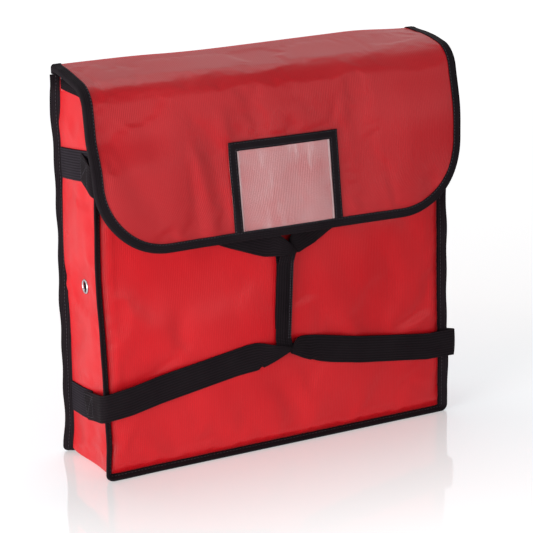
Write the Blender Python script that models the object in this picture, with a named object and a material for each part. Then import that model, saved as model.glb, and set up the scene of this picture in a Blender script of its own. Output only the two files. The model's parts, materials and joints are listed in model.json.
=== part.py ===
# Insulated pizza delivery bag that stands on edge: a leaning box with sewn seam fins,
# a long flap over the mouth and a webbing harness with an upright grip.
# Metres, +Z up. X runs across the bag, the front faces -Y, and the bag stands on z = 0.

import math

import bmesh
import bpy
from mathutils import Vector

# Body
front_half_width = 0.2070       # middle to the front seam
back_half_width = 0.2114        # middle to the back seam
base_depth = 0.0860             # front seam to back seam at the floor
waist_depth = 0.0735            # the same from the lean's end up to the tuck
lean_height = 0.2500            # the front leans back up to this height
tuck_height = 0.3000            # above this the front draws back under the flap
tuck_depth = 0.0080
body_middle_y = 0.00554         # the flap stands proud, so the body sits behind the middle
floor_gap = 0.0045              # bottom panel above the floor
corner_radius = 0.0120          # gusset bend at the two lower corners
bend_flat = 0.0030              # the side panel runs on flat past its bend
front_mouth_height = 0.4050
side_mouth_height = 0.4210      # side panel at its back edge
back_wall_height = 0.4324
front_bulge = 0.0120
back_bulge = 0.0030

# Layers of every wall, from the outside in
skin_thickness = 0.0008
foam_thickness = 0.0030
lining_thickness = 0.0005
layer_gap = 0.0004
seat_gap = 0.0003

# Seams and edge tape
fin_width = 0.0120
fin_thickness = 0.0026
fin_foot_reach = 0.0105         # the lower fin's tip beyond the seam
fin_foot_length = 0.0060        # the part of the lower fin that lies on the floor
fin_bury = 0.0006               # the fin's root starts this far inside the corner line
skin_seam_inset = 0.0015        # panel edges stop short of the seam line
skin_foot_inset = 0.0021        # the same above the lower seam
bottom_seam_inset = 0.0012
back_fin_turn_height = 0.0160   # the back fin turns into the sheet's plane over this height
front_fin_turn_height = 0.0400  # the front fin turns sideways under the flap over this height
front_fin_turn_start = 0.3380
tape_width = 0.0105
tape_thickness = 0.0008

# Flap
flap_half_width = 0.2220
flap_back_height = 0.4389
flap_top_length = 0.0808        # back fold to the sharp corner of the front fold
flap_front_length = 0.1806      # that corner to the lower edge
flap_fold_radius = 0.0270
flap_corner_radius = 0.0800
flap_top_slope = math.radians(8.8)
flap_front_lean = math.radians(8.5)
fold_gap = 0.0003

# Clear pocket on the flap
pocket_half_width = 0.0665
pocket_height = 0.1120          # above the flap's lower edge
window_thickness = 0.0005
pocket_tape_width = 0.0100

# Hook and loop closure
patch_length = 0.0560
patch_width = 0.0180
patch_thickness = 0.0016
patch_middle_x = 0.1200
patch_above_edge = 0.0720       # patch middle above the flap's lower edge

# Vent eyelets
eyelet_height = 0.2040
eyelet_bore_radius = 0.0060
eyelet_wall = 0.0006
eyelet_flange_radius = 0.0090
eyelet_flange_thickness = 0.0009
eyelet_rim_radius = 0.0079
eyelet_rim_thickness = 0.0004
eyelet_edge = 0.0003
washer_radius = 0.0095
washer_thickness = 0.0005

# Webbing harness
webbing_width = 0.0305
webbing_thickness = 0.0016
webbing_edge = 0.0005
tab_width = 0.0340
tab_overlap = 0.0180            # the strap's end lies on the tab this far
tab_seam_inset = 0.0022         # the tab stops at the root of the back fin
wrap_radius = 0.0054            # strap bend round the front fin
wrap_reach = 0.0025             # bend centre behind the fin's tip
upper_anchor_reach = 0.0120     # strap end behind the body's middle
lower_anchor_reach = 0.0220
upper_tab_height = 0.3290       # tab middle at the back seam
upper_anchor_height = 0.3360
upper_corner_height = 0.3200
upper_centre_height = 0.2240
lower_tab_height = 0.0645
lower_anchor_height = 0.0565
lower_corner_height = 0.0815
lower_centre_height = 0.1170
neck_radius = 0.0041            # strap gathered to pass through the grip's loop
neck_clearance = 0.0004
gather_start = 0.0340
neck_run = 0.0030               # the gathered strap runs straight into the loop

# Grip
grip_width = 0.0195
grip_reach = 0.0524             # grip's middle in front of the body's middle
grip_wall = 0.0018              # webbing round each loop
grip_waist = 0.0052             # sewn part between the loops
grip_swing = math.radians(35)
strap_end_margin = 0.0010       # gathered strap stands out of the loop this far

# Round stretches and divisions
corner_steps = 4
fold_steps = 6
flap_corner_steps = 7
loop_steps = 12
loop_opening = math.radians(50)
wrap_steps = 5
eyelet_steps = 20
cutter_overrun = 0.0040
panel_column_shares = [-1.0, -0.75, -0.4, 0.0, 0.4, 0.75, 1.0]
front_row_shares = [0.18, 0.35, 0.5, 0.65, 0.77, 0.87, 0.94, 0.975, 1.0]
back_row_shares = [0.2, 0.5, 0.8, 1.0]
side_column_shares = [0.0, 0.5, 1.0]
fin_height_shares = [1.0, 0.96, 0.93, 0.88, 0.83, 0.7, 0.5, 0.3, 0.15, 0.0]

# Worked out from the sizes above
wall_thickness = skin_thickness + foam_thickness + lining_thickness + 2 * layer_gap
foam_depth = skin_thickness + layer_gap
lining_depth = foam_depth + foam_thickness + layer_gap
tape_lift = seat_gap + tape_thickness / 2
tape_proud = seat_gap + tape_thickness
front_floor_y = body_middle_y - base_depth / 2
back_y = body_middle_y + base_depth / 2
grip_y = body_middle_y - grip_reach
gather_end = grip_width / 2 + strap_end_margin + seat_gap
flap_sheet_half_width = flap_half_width - tape_proud

# Finishes: colour, roughness, metallic
coated_red = ((0.60, 0.035, 0.040, 1.0), 0.42, 0.0)
black_tape = ((0.018, 0.016, 0.018, 1.0), 0.85, 0.0)
black_webbing = ((0.022, 0.018, 0.020, 1.0), 0.90, 0.0)
pale_foam = ((0.80, 0.80, 0.78, 1.0), 0.95, 0.0)
silver_lining = ((0.62, 0.63, 0.65, 1.0), 0.35, 0.6)
clear_film = ((0.70, 0.45, 0.46, 1.0), 0.15, 0.0)
plated_metal = ((0.72, 0.72, 0.74, 1.0), 0.25, 1.0)
hook_black = ((0.020, 0.020, 0.022, 1.0), 0.95, 0.0)


def clear_objects():
    for old in list(bpy.data.objects):
        bpy.data.objects.remove(old, do_unlink=True)


def mix(a, b, share):
    return a + (b - a) * share


def give_finish(thing, finish):
    colour, roughness, metallic = finish
    material = bpy.data.materials.new(thing.name + "_finish")
    material.use_nodes = True
    shader = material.node_tree.nodes["Principled BSDF"]
    shader.inputs["Base Color"].default_value = colour
    shader.inputs["Roughness"].default_value = roughness
    shader.inputs["Metallic"].default_value = metallic
    material.diffuse_color = colour
    thing.data.materials.append(material)


def add_object(name, bm, finish, pivot=None):
    mesh = bpy.data.meshes.new(name)
    bm.to_mesh(mesh)
    bm.free()
    thing = bpy.data.objects.new(name, mesh)
    bpy.context.scene.collection.objects.link(thing)
    give_finish(thing, finish)
    if pivot is not None:
        thing.parent = pivot
        thing.location = -world_place(pivot)
    return thing


def world_place(pivot):
    place = Vector(pivot.location)
    if pivot.parent is not None:
        place += world_place(pivot.parent)
    return place


def add_pivot(name, place, parent=None):
    pivot = bpy.data.objects.new(name, None)
    bpy.context.scene.collection.objects.link(pivot)
    pivot.location = place
    if parent is not None:
        pivot.parent = parent
        pivot.location = place - world_place(parent)
    return pivot


def grid_mesh(rows):
    bm = bmesh.new()
    lines = [[bm.verts.new(point) for point in row] for row in rows]
    for low, high in zip(lines, lines[1:]):
        for column in range(len(low) - 1):
            bm.faces.new((low[column], low[column + 1], high[column + 1], high[column]))
    bm.normal_update()
    return bm


def add_sheet(name, rows, thickness, finish, outward=None, pivot=None):
    # With an outward direction the rows are the outer face, without one the middle of the sheet.
    bm = grid_mesh(rows)
    centred = outward is None
    if not centred:
        lean = sum((face.normal * face.calc_area() for face in bm.faces), Vector())
        if lean.dot(outward) < 0:
            bmesh.ops.reverse_faces(bm, faces=bm.faces[:])
    thing = add_object(name, bm, finish, pivot)
    solidify = thing.modifiers.new("thickness", "SOLIDIFY")
    solidify.thickness = thickness
    solidify.offset = 0.0 if centred else -1.0
    solidify.use_even_offset = True
    return thing


def front_seam_y(z):
    rise = min(max(z / lean_height, 0.0), 1.0)
    tuck = max((z - tuck_height) / (front_mouth_height - tuck_height), 0.0)
    return front_floor_y + (base_depth - waist_depth) * (1 - (1 - rise) ** 2) + tuck_depth * tuck ** 2


def back_seam_y(z):
    return back_y


def half_width(y):
    return mix(front_half_width, back_half_width, (y - front_floor_y) / base_depth)


def pillow(x, z, width, top):
    across = x / width
    middle = (floor_gap + top) / 2
    up = (z - middle) / (top - middle)
    return (1 - across ** 2) * (1 - up ** 2)


def front_panel_y(x, z):
    return front_seam_y(z) - front_bulge * pillow(x, z, front_half_width, front_mouth_height)


def back_panel_y(x, z):
    return back_y + back_bulge * pillow(x, z, back_half_width, back_wall_height)


def panel_rows(width, top, side_inset, foot_inset, surface, depth, row_shares):
    # Rows climb from the lower edge, whose corners follow the gusset's bend.
    radius = corner_radius - side_inset
    low = floor_gap + foot_inset
    rows = []
    for step in range(corner_steps + 1):
        turn = math.pi / 2 * step / corner_steps
        reach = width - corner_radius + radius * math.sin(turn)
        rows.append((reach, low + radius * (1 - math.cos(turn))))
    start = low + radius
    for share in row_shares:
        rows.append((width - side_inset, mix(start, top, share)))
    grid = []
    for reach, z in rows:
        grid.append([Vector((share * reach, surface(share * reach, z) + depth, z))
                     for share in panel_column_shares])
    return grid


def add_front_panel():
    outward = Vector((0, -1, 0))
    layers = [("front_panel_skin", 0.0, skin_thickness, coated_red, skin_seam_inset, skin_foot_inset),
              ("front_panel_foam", foam_depth, foam_thickness, pale_foam,
               skin_thickness + layer_gap, bottom_seam_inset + seat_gap),
              ("front_panel_lining", lining_depth, lining_thickness, silver_lining,
               skin_thickness + layer_gap, bottom_seam_inset + seat_gap)]
    for name, depth, thickness, finish, side, foot in layers:
        rows = panel_rows(front_half_width, front_mouth_height, side, foot, front_panel_y, depth,
                          front_row_shares)
        add_sheet(name, rows, thickness, finish, outward)


def add_back_panel():
    outward = Vector((0, 1, 0))
    layers = [("back_panel_skin", 0.0, skin_thickness, coated_red, skin_seam_inset, skin_foot_inset),
              ("back_panel_foam", foam_depth, foam_thickness, pale_foam,
               skin_thickness + layer_gap, bottom_seam_inset + seat_gap),
              ("back_panel_lining", lining_depth, lining_thickness, silver_lining,
               skin_thickness + layer_gap, bottom_seam_inset + seat_gap)]
    for name, depth, thickness, finish, side, foot in layers:
        rows = panel_rows(back_half_width, back_wall_height, side, foot, back_panel_y, -depth,
                          back_row_shares)
        add_sheet(name, rows, thickness, finish, outward)


def side_top(y):
    mouth_y = front_seam_y(front_mouth_height)
    share = (y - mouth_y) / (back_y - mouth_y)
    return mix(front_mouth_height, side_mouth_height, share)


def side_rows(side, depth, edge_inset):
    # Rows run down the side and round the bend on to the bottom.
    bend_z = floor_gap + corner_radius
    radius = corner_radius - depth
    levels = [(0.0, share) for share in reversed([0.0] + front_row_shares)]
    turns = [math.pi / 2 * (step + 1) / corner_steps for step in range(corner_steps)]
    rows = []
    for turn, rise in levels + [(turn, None) for turn in turns]:
        row = []
        for share in side_column_shares:
            z = bend_z - radius * math.sin(turn)
            if rise is not None:
                z = mix(bend_z, side_mouth_height, rise)
            y = mix(front_seam_y(z) + edge_inset, back_seam_y(z) - edge_inset, share)
            if rise is not None:
                z = mix(bend_z, side_top(y), rise)
            x = half_width(y) - corner_radius + radius * math.cos(turn)
            row.append(Vector((side * x, y, z)))
        rows.append(row)
    rows.append([point - Vector((side * bend_flat, 0, 0)) for point in rows[-1]])
    return rows


def vent_middle(side):
    y = (front_seam_y(eyelet_height) + back_seam_y(eyelet_height)) / 2
    return Vector((side * half_width(y), y, eyelet_height))


def vent_turn(side):
    # The side panels open a little towards the back, so the eyelet's axis turns with them.
    taper = math.atan2(back_half_width - front_half_width, base_depth)
    return -taper if side > 0 else math.pi + taper


def cut_vent(panel, side):
    bm = bmesh.new()
    hole = eyelet_bore_radius + eyelet_wall + seat_gap
    length = wall_thickness * 2 + cutter_overrun
    bmesh.ops.create_cone(bm, cap_ends=True, segments=eyelet_steps, radius1=hole, radius2=hole,
                          depth=length)
    cutter = add_object(panel.name + "_cutter", bm, plated_metal)
    cutter.rotation_euler = (0, math.pi / 2, vent_turn(side))
    cutter.location = vent_middle(side)
    cutter.hide_render = True
    cutter.display_type = "WIRE"
    cut = panel.modifiers.new("vent", "BOOLEAN")
    cut.operation = "DIFFERENCE"
    cut.object = cutter


def add_side_panel(side, word):
    outward = Vector((side, 0, 0))
    inner_inset = wall_thickness + layer_gap
    layers = [("skin", 0.0, skin_thickness, coated_red, skin_seam_inset),
              ("foam", foam_depth, foam_thickness, pale_foam, inner_inset),
              ("lining", lining_depth, lining_thickness, silver_lining, inner_inset)]
    for layer, depth, thickness, finish, inset in layers:
        name = "side_panel_" + layer + "_" + word
        panel = add_sheet(name, side_rows(side, depth, inset), thickness, finish, outward)
        cut_vent(panel, side)


def add_bottom_panel():
    inner_inset = wall_thickness + layer_gap
    layers = [("bottom_panel_skin", 0.0, skin_thickness, coated_red, bottom_seam_inset),
              ("bottom_panel_foam", foam_depth, foam_thickness, pale_foam, inner_inset),
              ("bottom_panel_lining", lining_depth, lining_thickness, silver_lining, inner_inset)]
    for name, depth, thickness, finish, inset in layers:
        z = floor_gap + depth
        rows = []
        for y in (front_seam_y(z + wall_thickness) + inset, back_seam_y(z) - inset):
            reach = half_width(y) - corner_radius - bend_flat - seat_gap
            rows.append([Vector((-reach, y, z)), Vector((reach, y, z))])
        add_sheet(name, rows, thickness, finish, Vector((0, 0, -1)))


def fin_path(top):
    # One side of the fin from the top down to the middle of the floor: height, turn and run in.
    bend_z = floor_gap + corner_radius
    path = [(mix(bend_z, top, share), 0.0) for share in fin_height_shares]
    for step in range(corner_steps):
        path.append((None, math.pi / 2 * (step + 1) / corner_steps))
    return path


def fin_rows(top, seam_y, width, away, turn_start, turn_height, flat_reach):
    # Each row holds the fin's root, its knee and its tip.
    side_reach = fin_width * math.sin(math.pi / 4)
    side_bury = fin_bury * math.sin(math.pi / 4)
    drop = floor_gap - fin_thickness / 2
    half = []
    for height, turn in fin_path(top):
        low = math.sin(turn) ** 2
        z = height
        if height is None:
            z = floor_gap + corner_radius * (1 - math.sin(turn))
        x = width - corner_radius + corner_radius * math.cos(turn)
        flat = min(max((z - turn_start) / turn_height, 0.0), 1.0)
        out = mix(mix(side_reach, flat_reach, flat), drop, low)
        forth = mix(mix(side_reach, 0.0, flat), fin_foot_reach, low)
        knee_out = mix(out / 2, drop, low)
        knee_forth = mix(forth / 2, fin_foot_reach - fin_foot_length, low)
        normal = Vector((math.cos(turn), 0, -math.sin(turn)))
        root = Vector((x, seam_y(z), z))
        bury_x = mix(side_bury * math.cos(turn), -seat_gap, flat)
        bury = Vector((bury_x, away * side_bury * (1 - flat), -side_bury * math.sin(turn)))
        half.append([root - bury,
                     root + normal * knee_out + Vector((0, away * knee_forth, 0)),
                     root + normal * out + Vector((0, away * forth, 0))])
    other = [[Vector((-point.x, point.y, point.z)) for point in row] for row in reversed(half)]
    return half + other


def add_seam_fins():
    rows = fin_rows(front_mouth_height, front_seam_y, front_half_width, -1,
                    front_fin_turn_start, front_fin_turn_height, fin_width)
    add_sheet("front_seam_binding", rows, fin_thickness, black_tape)
    rows = fin_rows(back_wall_height, back_seam_y, back_half_width, 1,
                    side_mouth_height - back_fin_turn_height, back_fin_turn_height,
                    flap_half_width - back_half_width)
    add_sheet("back_seam_binding", rows, fin_thickness, black_tape)


def channel_section(wall):
    # Tape folded over an edge: distance in from the edge, and depth from the outer face.
    reach = tape_width - tape_proud
    return [(reach, -tape_lift), (-tape_lift, -tape_lift),
            (-tape_lift, wall + tape_lift), (reach, wall + tape_lift)]


def add_mouth_bindings():
    rows = []
    z = front_mouth_height
    reach = front_half_width - wall_thickness - 2 * layer_gap
    for share in panel_column_shares:
        x = share * reach
        rows.append([Vector((x, front_panel_y(x, min(z, z - inward)) + depth, z - inward))
                     for inward, depth in channel_section(wall_thickness)])
    add_sheet("front_mouth_binding", rows, tape_thickness, black_tape)
    for side, word in ((-1, "left"), (1, "right")):
        start = front_seam_y(front_mouth_height) + wall_thickness + 2 * tape_proud
        end = back_y - wall_thickness - 2 * layer_gap
        rows = []
        for share in side_column_shares:
            y = mix(start, end, share)
            rows.append([Vector((side * (half_width(y) - depth), y, side_top(y) - inward))
                         for inward, depth in channel_section(wall_thickness)])
        add_sheet("side_mouth_binding_" + word, rows, tape_thickness, black_tape)


def turned_ring(profile):
    bm = bmesh.new()
    ring = [bm.verts.new((along, 0, radius)) for along, radius in profile]
    edges = [bm.edges.new((ring[i], ring[(i + 1) % len(ring)])) for i in range(len(ring))]
    bmesh.ops.spin(bm, geom=ring + edges, cent=(0, 0, 0), axis=(1, 0, 0), angle=2 * math.pi,
                   steps=eyelet_steps, use_duplicate=False, use_merge=True)
    bmesh.ops.remove_doubles(bm, verts=bm.verts[:], dist=eyelet_edge / 10)
    bmesh.ops.recalc_face_normals(bm, faces=bm.faces[:])
    return bm


def place_on_vent(thing, side):
    thing.location = vent_middle(side)
    thing.rotation_euler = (0, 0, vent_turn(side))
    for face in thing.data.polygons:
        face.use_smooth = True
    thing.data.set_sharp_from_angle(angle=math.radians(40))


def add_eyelet(side, word):
    bore = eyelet_bore_radius
    barrel = bore + eyelet_wall
    face = seat_gap
    front = face + eyelet_flange_thickness
    back = -wall_thickness - 2 * seat_gap - washer_thickness
    end = back - eyelet_rim_thickness
    profile = [(end, bore), (front, bore), (front, eyelet_flange_radius - eyelet_edge),
               (front - eyelet_edge, eyelet_flange_radius), (face, eyelet_flange_radius),
               (face, barrel), (back, barrel), (back, eyelet_rim_radius), (end, eyelet_rim_radius)]
    eyelet = add_object("eyelet_" + word, turned_ring(profile), plated_metal)
    place_on_vent(eyelet, side)
    near = -wall_thickness - seat_gap
    far = near - washer_thickness
    inner = barrel + seat_gap
    profile = [(far, inner), (near, inner), (near, washer_radius), (far, washer_radius)]
    washer = add_object("eyelet_washer_" + word, turned_ring(profile), plated_metal)
    place_on_vent(washer, side)


def flap_frame(run):
    # Point and outward normal on the flap's outer face, a distance along the sheet from the back fold.
    turn = math.pi / 2 - flap_top_slope - flap_front_lean
    flat, bend = flap_lengths()
    heading = flap_top_slope + min(max((run - flat) / flap_fold_radius, 0.0), turn)
    start = Vector((0, back_y, flap_back_height))
    point = start + flap_direction(flap_top_slope) * min(run, flat)
    if run > flat:
        centre = point - flap_normal(flap_top_slope) * flap_fold_radius
        point = centre + flap_normal(heading) * flap_fold_radius
    if run > flat + bend:
        point += flap_direction(heading) * (run - flat - bend)
    return point, flap_normal(heading)


def flap_direction(heading):
    return Vector((0, -math.cos(heading), -math.sin(heading)))


def flap_normal(heading):
    return Vector((0, -math.sin(heading), math.cos(heading)))


def flap_lengths():
    # Flat run on the top, and the length of the rounded fold.
    turn = math.pi / 2 - flap_top_slope - flap_front_lean
    return flap_top_length - flap_fold_radius * math.tan(turn / 2), flap_fold_radius * turn


def flap_end():
    turn = math.pi / 2 - flap_top_slope - flap_front_lean
    flat, bend = flap_lengths()
    return flat + bend + flap_front_length - flap_fold_radius * math.tan(turn / 2)


def fold_run():
    flat, bend = flap_lengths()
    return flat + bend / 2


def flap_point(x, run, depth):
    point, normal = flap_frame(run)
    return Vector((x, 0, 0)) + point - normal * depth


def flap_runs(start, end):
    flat, bend = flap_lengths()
    stops = [flat + bend * step / fold_steps for step in range(fold_steps + 1)]
    stops += [fold_run() - 2 * fold_gap, fold_run() + 2 * fold_gap]
    inner = [run for run in sorted(stops) if start + fold_gap < run < end - fold_gap]
    return [start] + inner + [end]


def flap_layers():
    return [("skin", 0.0, skin_thickness, coated_red),
            ("foam", foam_depth, foam_thickness, pale_foam),
            ("lining", lining_depth, lining_thickness, silver_lining)]


def add_flap_top(pivot):
    reach = flap_sheet_half_width
    runs = flap_runs(fold_gap, fold_run() - fold_gap / 2)
    for layer, depth, thickness, finish in flap_layers():
        rows = [[flap_point(-reach, run, depth), flap_point(reach, run, depth)] for run in runs]
        add_sheet("flap_top_" + layer, rows, thickness, finish, Vector((0, -1, 1)), pivot)
    for side, word in ((-1, "left"), (1, "right")):
        rows = [[flap_point(side * (reach - inward), run, depth)
                 for inward, depth in channel_section(wall_thickness)] for run in runs]
        add_sheet("flap_top_binding_" + word, rows, tape_thickness, black_tape, None, pivot)


def flap_outline():
    # Down the left edge, round both lower corners and up the right edge: x, run and outward direction.
    reach = flap_sheet_half_width
    edge = flap_end() - tape_proud
    corner_x = reach - flap_corner_radius
    corner_run = edge - flap_corner_radius
    path = [(-reach, run, -1.0, 0.0) for run in flap_runs(fold_run() + fold_gap / 2, corner_run)]
    for step in range(1, flap_corner_steps + 1):
        turn = math.pi / 2 * step / flap_corner_steps
        path.append((-corner_x - flap_corner_radius * math.cos(turn),
                     corner_run + flap_corner_radius * math.sin(turn),
                     -math.cos(turn), math.sin(turn)))
    return path + [(-x, run, -away_x, away_run) for x, run, away_x, away_run in reversed(path)]


def add_flap_front(pivot):
    outline = flap_outline()
    half = outline[:len(outline) // 2]
    for layer, depth, thickness, finish in flap_layers():
        rows = [[flap_point(x, run, depth), flap_point(-x, run, depth)] for x, run, _, _ in half]
        add_sheet("flap_front_" + layer, rows, thickness, finish, Vector((0, -1, 0)), pivot)
    rows = []
    for x, run, away_x, away_run in outline:
        rows.append([flap_point(x - away_x * inward, run - away_run * inward, depth)
                     for inward, depth in channel_section(wall_thickness)])
    add_sheet("flap_front_binding", rows, tape_thickness, black_tape, None, pivot)


def add_pocket(pivot):
    top = flap_end() - pocket_height
    low = flap_end() - tape_width - seat_gap
    outward = Vector((0, -1, 0))
    depth = -seat_gap - window_thickness
    reach = pocket_half_width - seat_gap
    rows = [[flap_point(-reach, run, depth), flap_point(reach, run, depth)]
            for run in (top + seat_gap, low)]
    add_sheet("pocket_window", rows, window_thickness, clear_film, outward, pivot)
    depth -= seat_gap + tape_thickness
    reach = pocket_half_width
    inner = pocket_half_width - pocket_tape_width
    rows = [[flap_point(-reach, low, depth), flap_point(-inner, low, depth)],
            [flap_point(-reach, top, depth), flap_point(-inner, top + pocket_tape_width, depth)],
            [flap_point(reach, top, depth), flap_point(inner, top + pocket_tape_width, depth)],
            [flap_point(reach, low, depth), flap_point(inner, low, depth)]]
    add_sheet("pocket_binding", rows, tape_thickness, black_tape, outward, pivot)


def add_closure(pivot):
    for side, word in ((-1, "left"), (1, "right")):
        middle = side * patch_middle_x
        run = flap_end() - patch_above_edge
        ends = (middle - patch_length / 2, middle, middle + patch_length / 2)
        depth = wall_thickness + seat_gap + patch_thickness
        rows = [[flap_point(x, place, depth) for x in ends]
                for place in (run - patch_width / 2, run + patch_width / 2)]
        add_sheet("hook_patch_" + word, rows, patch_thickness, hook_black, Vector((0, 1, 0)), pivot)
        height = flap_frame(run)[0].z
        lift = seat_gap + patch_thickness
        rows = [[Vector((x, front_panel_y(x, z) - lift, z)) for x in ends]
                for z in (height - patch_width / 2, height, height + patch_width / 2)]
        add_sheet("loop_patch_" + word, rows, patch_thickness, hook_black, Vector((0, -1, 0)))


def add_tab(name, side, seam_height, end_height, anchor_reach):
    start = back_y - tab_seam_inset
    end = body_middle_y + anchor_reach - tab_overlap
    slope = (end_height - seam_height) / (start - body_middle_y - anchor_reach)
    lift = seat_gap + webbing_thickness
    rows = []
    for y in (start, end):
        z = seam_height + slope * (start - y)
        rows.append([Vector((side * (half_width(y) + lift), y, z - tab_width / 2)),
                     Vector((side * (half_width(y) + lift), y, z + tab_width / 2))])
    add_sheet(name, rows, webbing_thickness, black_webbing, Vector((side, 0, 0)))


def wrap_climb(turn, arrive, leave):
    # How far the strap climbs round the fin while its slope turns from the side's to the front's.
    return wrap_radius * (arrive * turn + (leave - arrive) * turn ** 2 / math.pi)


def strap_stations(side, anchor_reach, anchor_height, corner_height, centre_height):
    # From the strap's sewn end, round the front fin, to the loop: centre, outward direction, gather.
    fin_reach = fin_width * math.sin(math.pi / 4)
    tip_x = front_half_width + fin_reach
    tip_y = front_seam_y(corner_height - webbing_width / 2) - fin_reach
    bend_x = tip_x - wrap_reach
    bend_y = tip_y + wrap_reach
    start_y = body_middle_y + anchor_reach
    start_x = half_width(start_y) + 2 * seat_gap + webbing_thickness + webbing_thickness / 2
    arrive = (corner_height - anchor_height) / (start_y - bend_y)
    leave = (centre_height - corner_height) / (bend_x - gather_end - neck_run)
    low = corner_height - wrap_climb(math.pi / 4, arrive, leave)
    stations = []
    for share in (0.0, 0.5):
        stations.append((mix(start_x, bend_x + wrap_radius, share), mix(start_y, bend_y, share),
                         mix(anchor_height, low, share), 0.0, 0.0))
    for step in range(wrap_steps + 1):
        turn = math.pi / 2 * step / wrap_steps
        stations.append((bend_x + wrap_radius * math.cos(turn), bend_y - wrap_radius * math.sin(turn),
                         low + wrap_climb(turn, arrive, leave), turn, 0.0))
    wrap_end = len(stations)
    start = Vector(stations[-1][:3])
    end = Vector((gather_end + neck_run, grip_y, centre_height))
    for reach, gather in ((mix(start.x, gather_start, 0.5), 0.0), (gather_start, 0.0),
                          (mix(gather_start, end.x, 0.5), 0.45), (end.x, 1.0)):
        share = (start.x - reach) / (start.x - end.x)
        stations.append((reach, mix(start.y, end.y, share), mix(start.z, end.z, share),
                         math.pi / 2, gather))
    stations.append((gather_end, end.y, end.z, math.pi / 2, 1.0))
    placed = [(Vector((side * x, y, z)), Vector((side * math.cos(turn), -math.sin(turn), 0)), gather)
              for x, y, z, turn, gather in stations]
    return placed, wrap_end


def strap_section(gather):
    # Eight corners: a flat band with eased edges that gathers to a round cord.
    wide = mix(webbing_width / 2, neck_radius, gather)
    thick = mix(webbing_thickness / 2, neck_radius, gather)
    eighth_share = math.tan(math.pi / 8)
    flat_wide = mix(webbing_width / 2 - webbing_edge, neck_radius * eighth_share, gather)
    flat_thick = mix(webbing_thickness / 2 - webbing_edge, neck_radius * eighth_share, gather)
    return [(wide, -flat_thick), (wide, flat_thick), (flat_wide, thick), (-flat_wide, thick),
            (-wide, flat_thick), (-wide, -flat_thick), (-flat_wide, -thick), (flat_wide, -thick)]


def strap_rings(stations):
    # Every ring stands upright, and a sloping stretch is taller there by as much as its slope asks.
    rings = []
    for index, (centre, outward, gather) in enumerate(stations):
        before = stations[max(index - 1, 0)][0]
        after = stations[min(index + 1, len(stations) - 1)][0]
        along = (after - before).normalized()
        level = math.hypot(along.x, along.y)
        rings.append([centre + Vector((0, 0, wide / level)) + outward * thick
                      for wide, thick in strap_section(gather)])
    return rings


def add_strap(name, points, pivot=None):
    bm = bmesh.new()
    rings = [[bm.verts.new(point) for point in ring] for ring in points]
    for low, high in zip(rings, rings[1:]):
        for corner in range(len(low)):
            after = (corner + 1) % len(low)
            bm.faces.new((low[corner], low[after], high[after], high[corner]))
    bm.faces.new(rings[0])
    bm.faces.new(reversed(rings[-1]))
    bmesh.ops.recalc_face_normals(bm, faces=bm.faces[:])
    return add_object(name, bm, black_webbing, pivot)


def add_upper_strap():
    sides = [strap_stations(side, upper_anchor_reach, upper_anchor_height, upper_corner_height,
                            upper_centre_height)[0] for side in (-1, 1)]
    add_strap("upper_strap", strap_rings(sides[0] + sides[1][::-1]))
    for side, word in ((-1, "left"), (1, "right")):
        add_tab("upper_anchor_tab_" + word, side, upper_tab_height, upper_anchor_height,
                upper_anchor_reach)


def strap_corner(side):
    # Where the loose span of the lower strap starts, on the strap's outer face.
    stations, wrap_end = strap_stations(side, lower_anchor_reach, lower_anchor_height,
                                        lower_corner_height, lower_centre_height)
    centre = stations[wrap_end - 1][0]
    tilt = webbing_width / 2 * math.tan(grip_swing / 2)
    return centre + Vector((0, -webbing_thickness / 2 - tilt, 0))


def add_lower_strap(side, word, pivot):
    stations, wrap_end = strap_stations(side, lower_anchor_reach, lower_anchor_height,
                                        lower_corner_height, lower_centre_height)
    rings = strap_rings(stations)
    add_strap("lower_strap_end_" + word, rings[:wrap_end])
    step = Vector((-side * seat_gap, 0, 0))
    start = [point + step for point in rings[wrap_end - 1]]
    add_strap("lower_strap_span_" + word, [start] + rings[wrap_end:], pivot)
    add_tab("lower_anchor_tab_" + word, side, lower_tab_height, lower_anchor_height,
            lower_anchor_reach)


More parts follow.
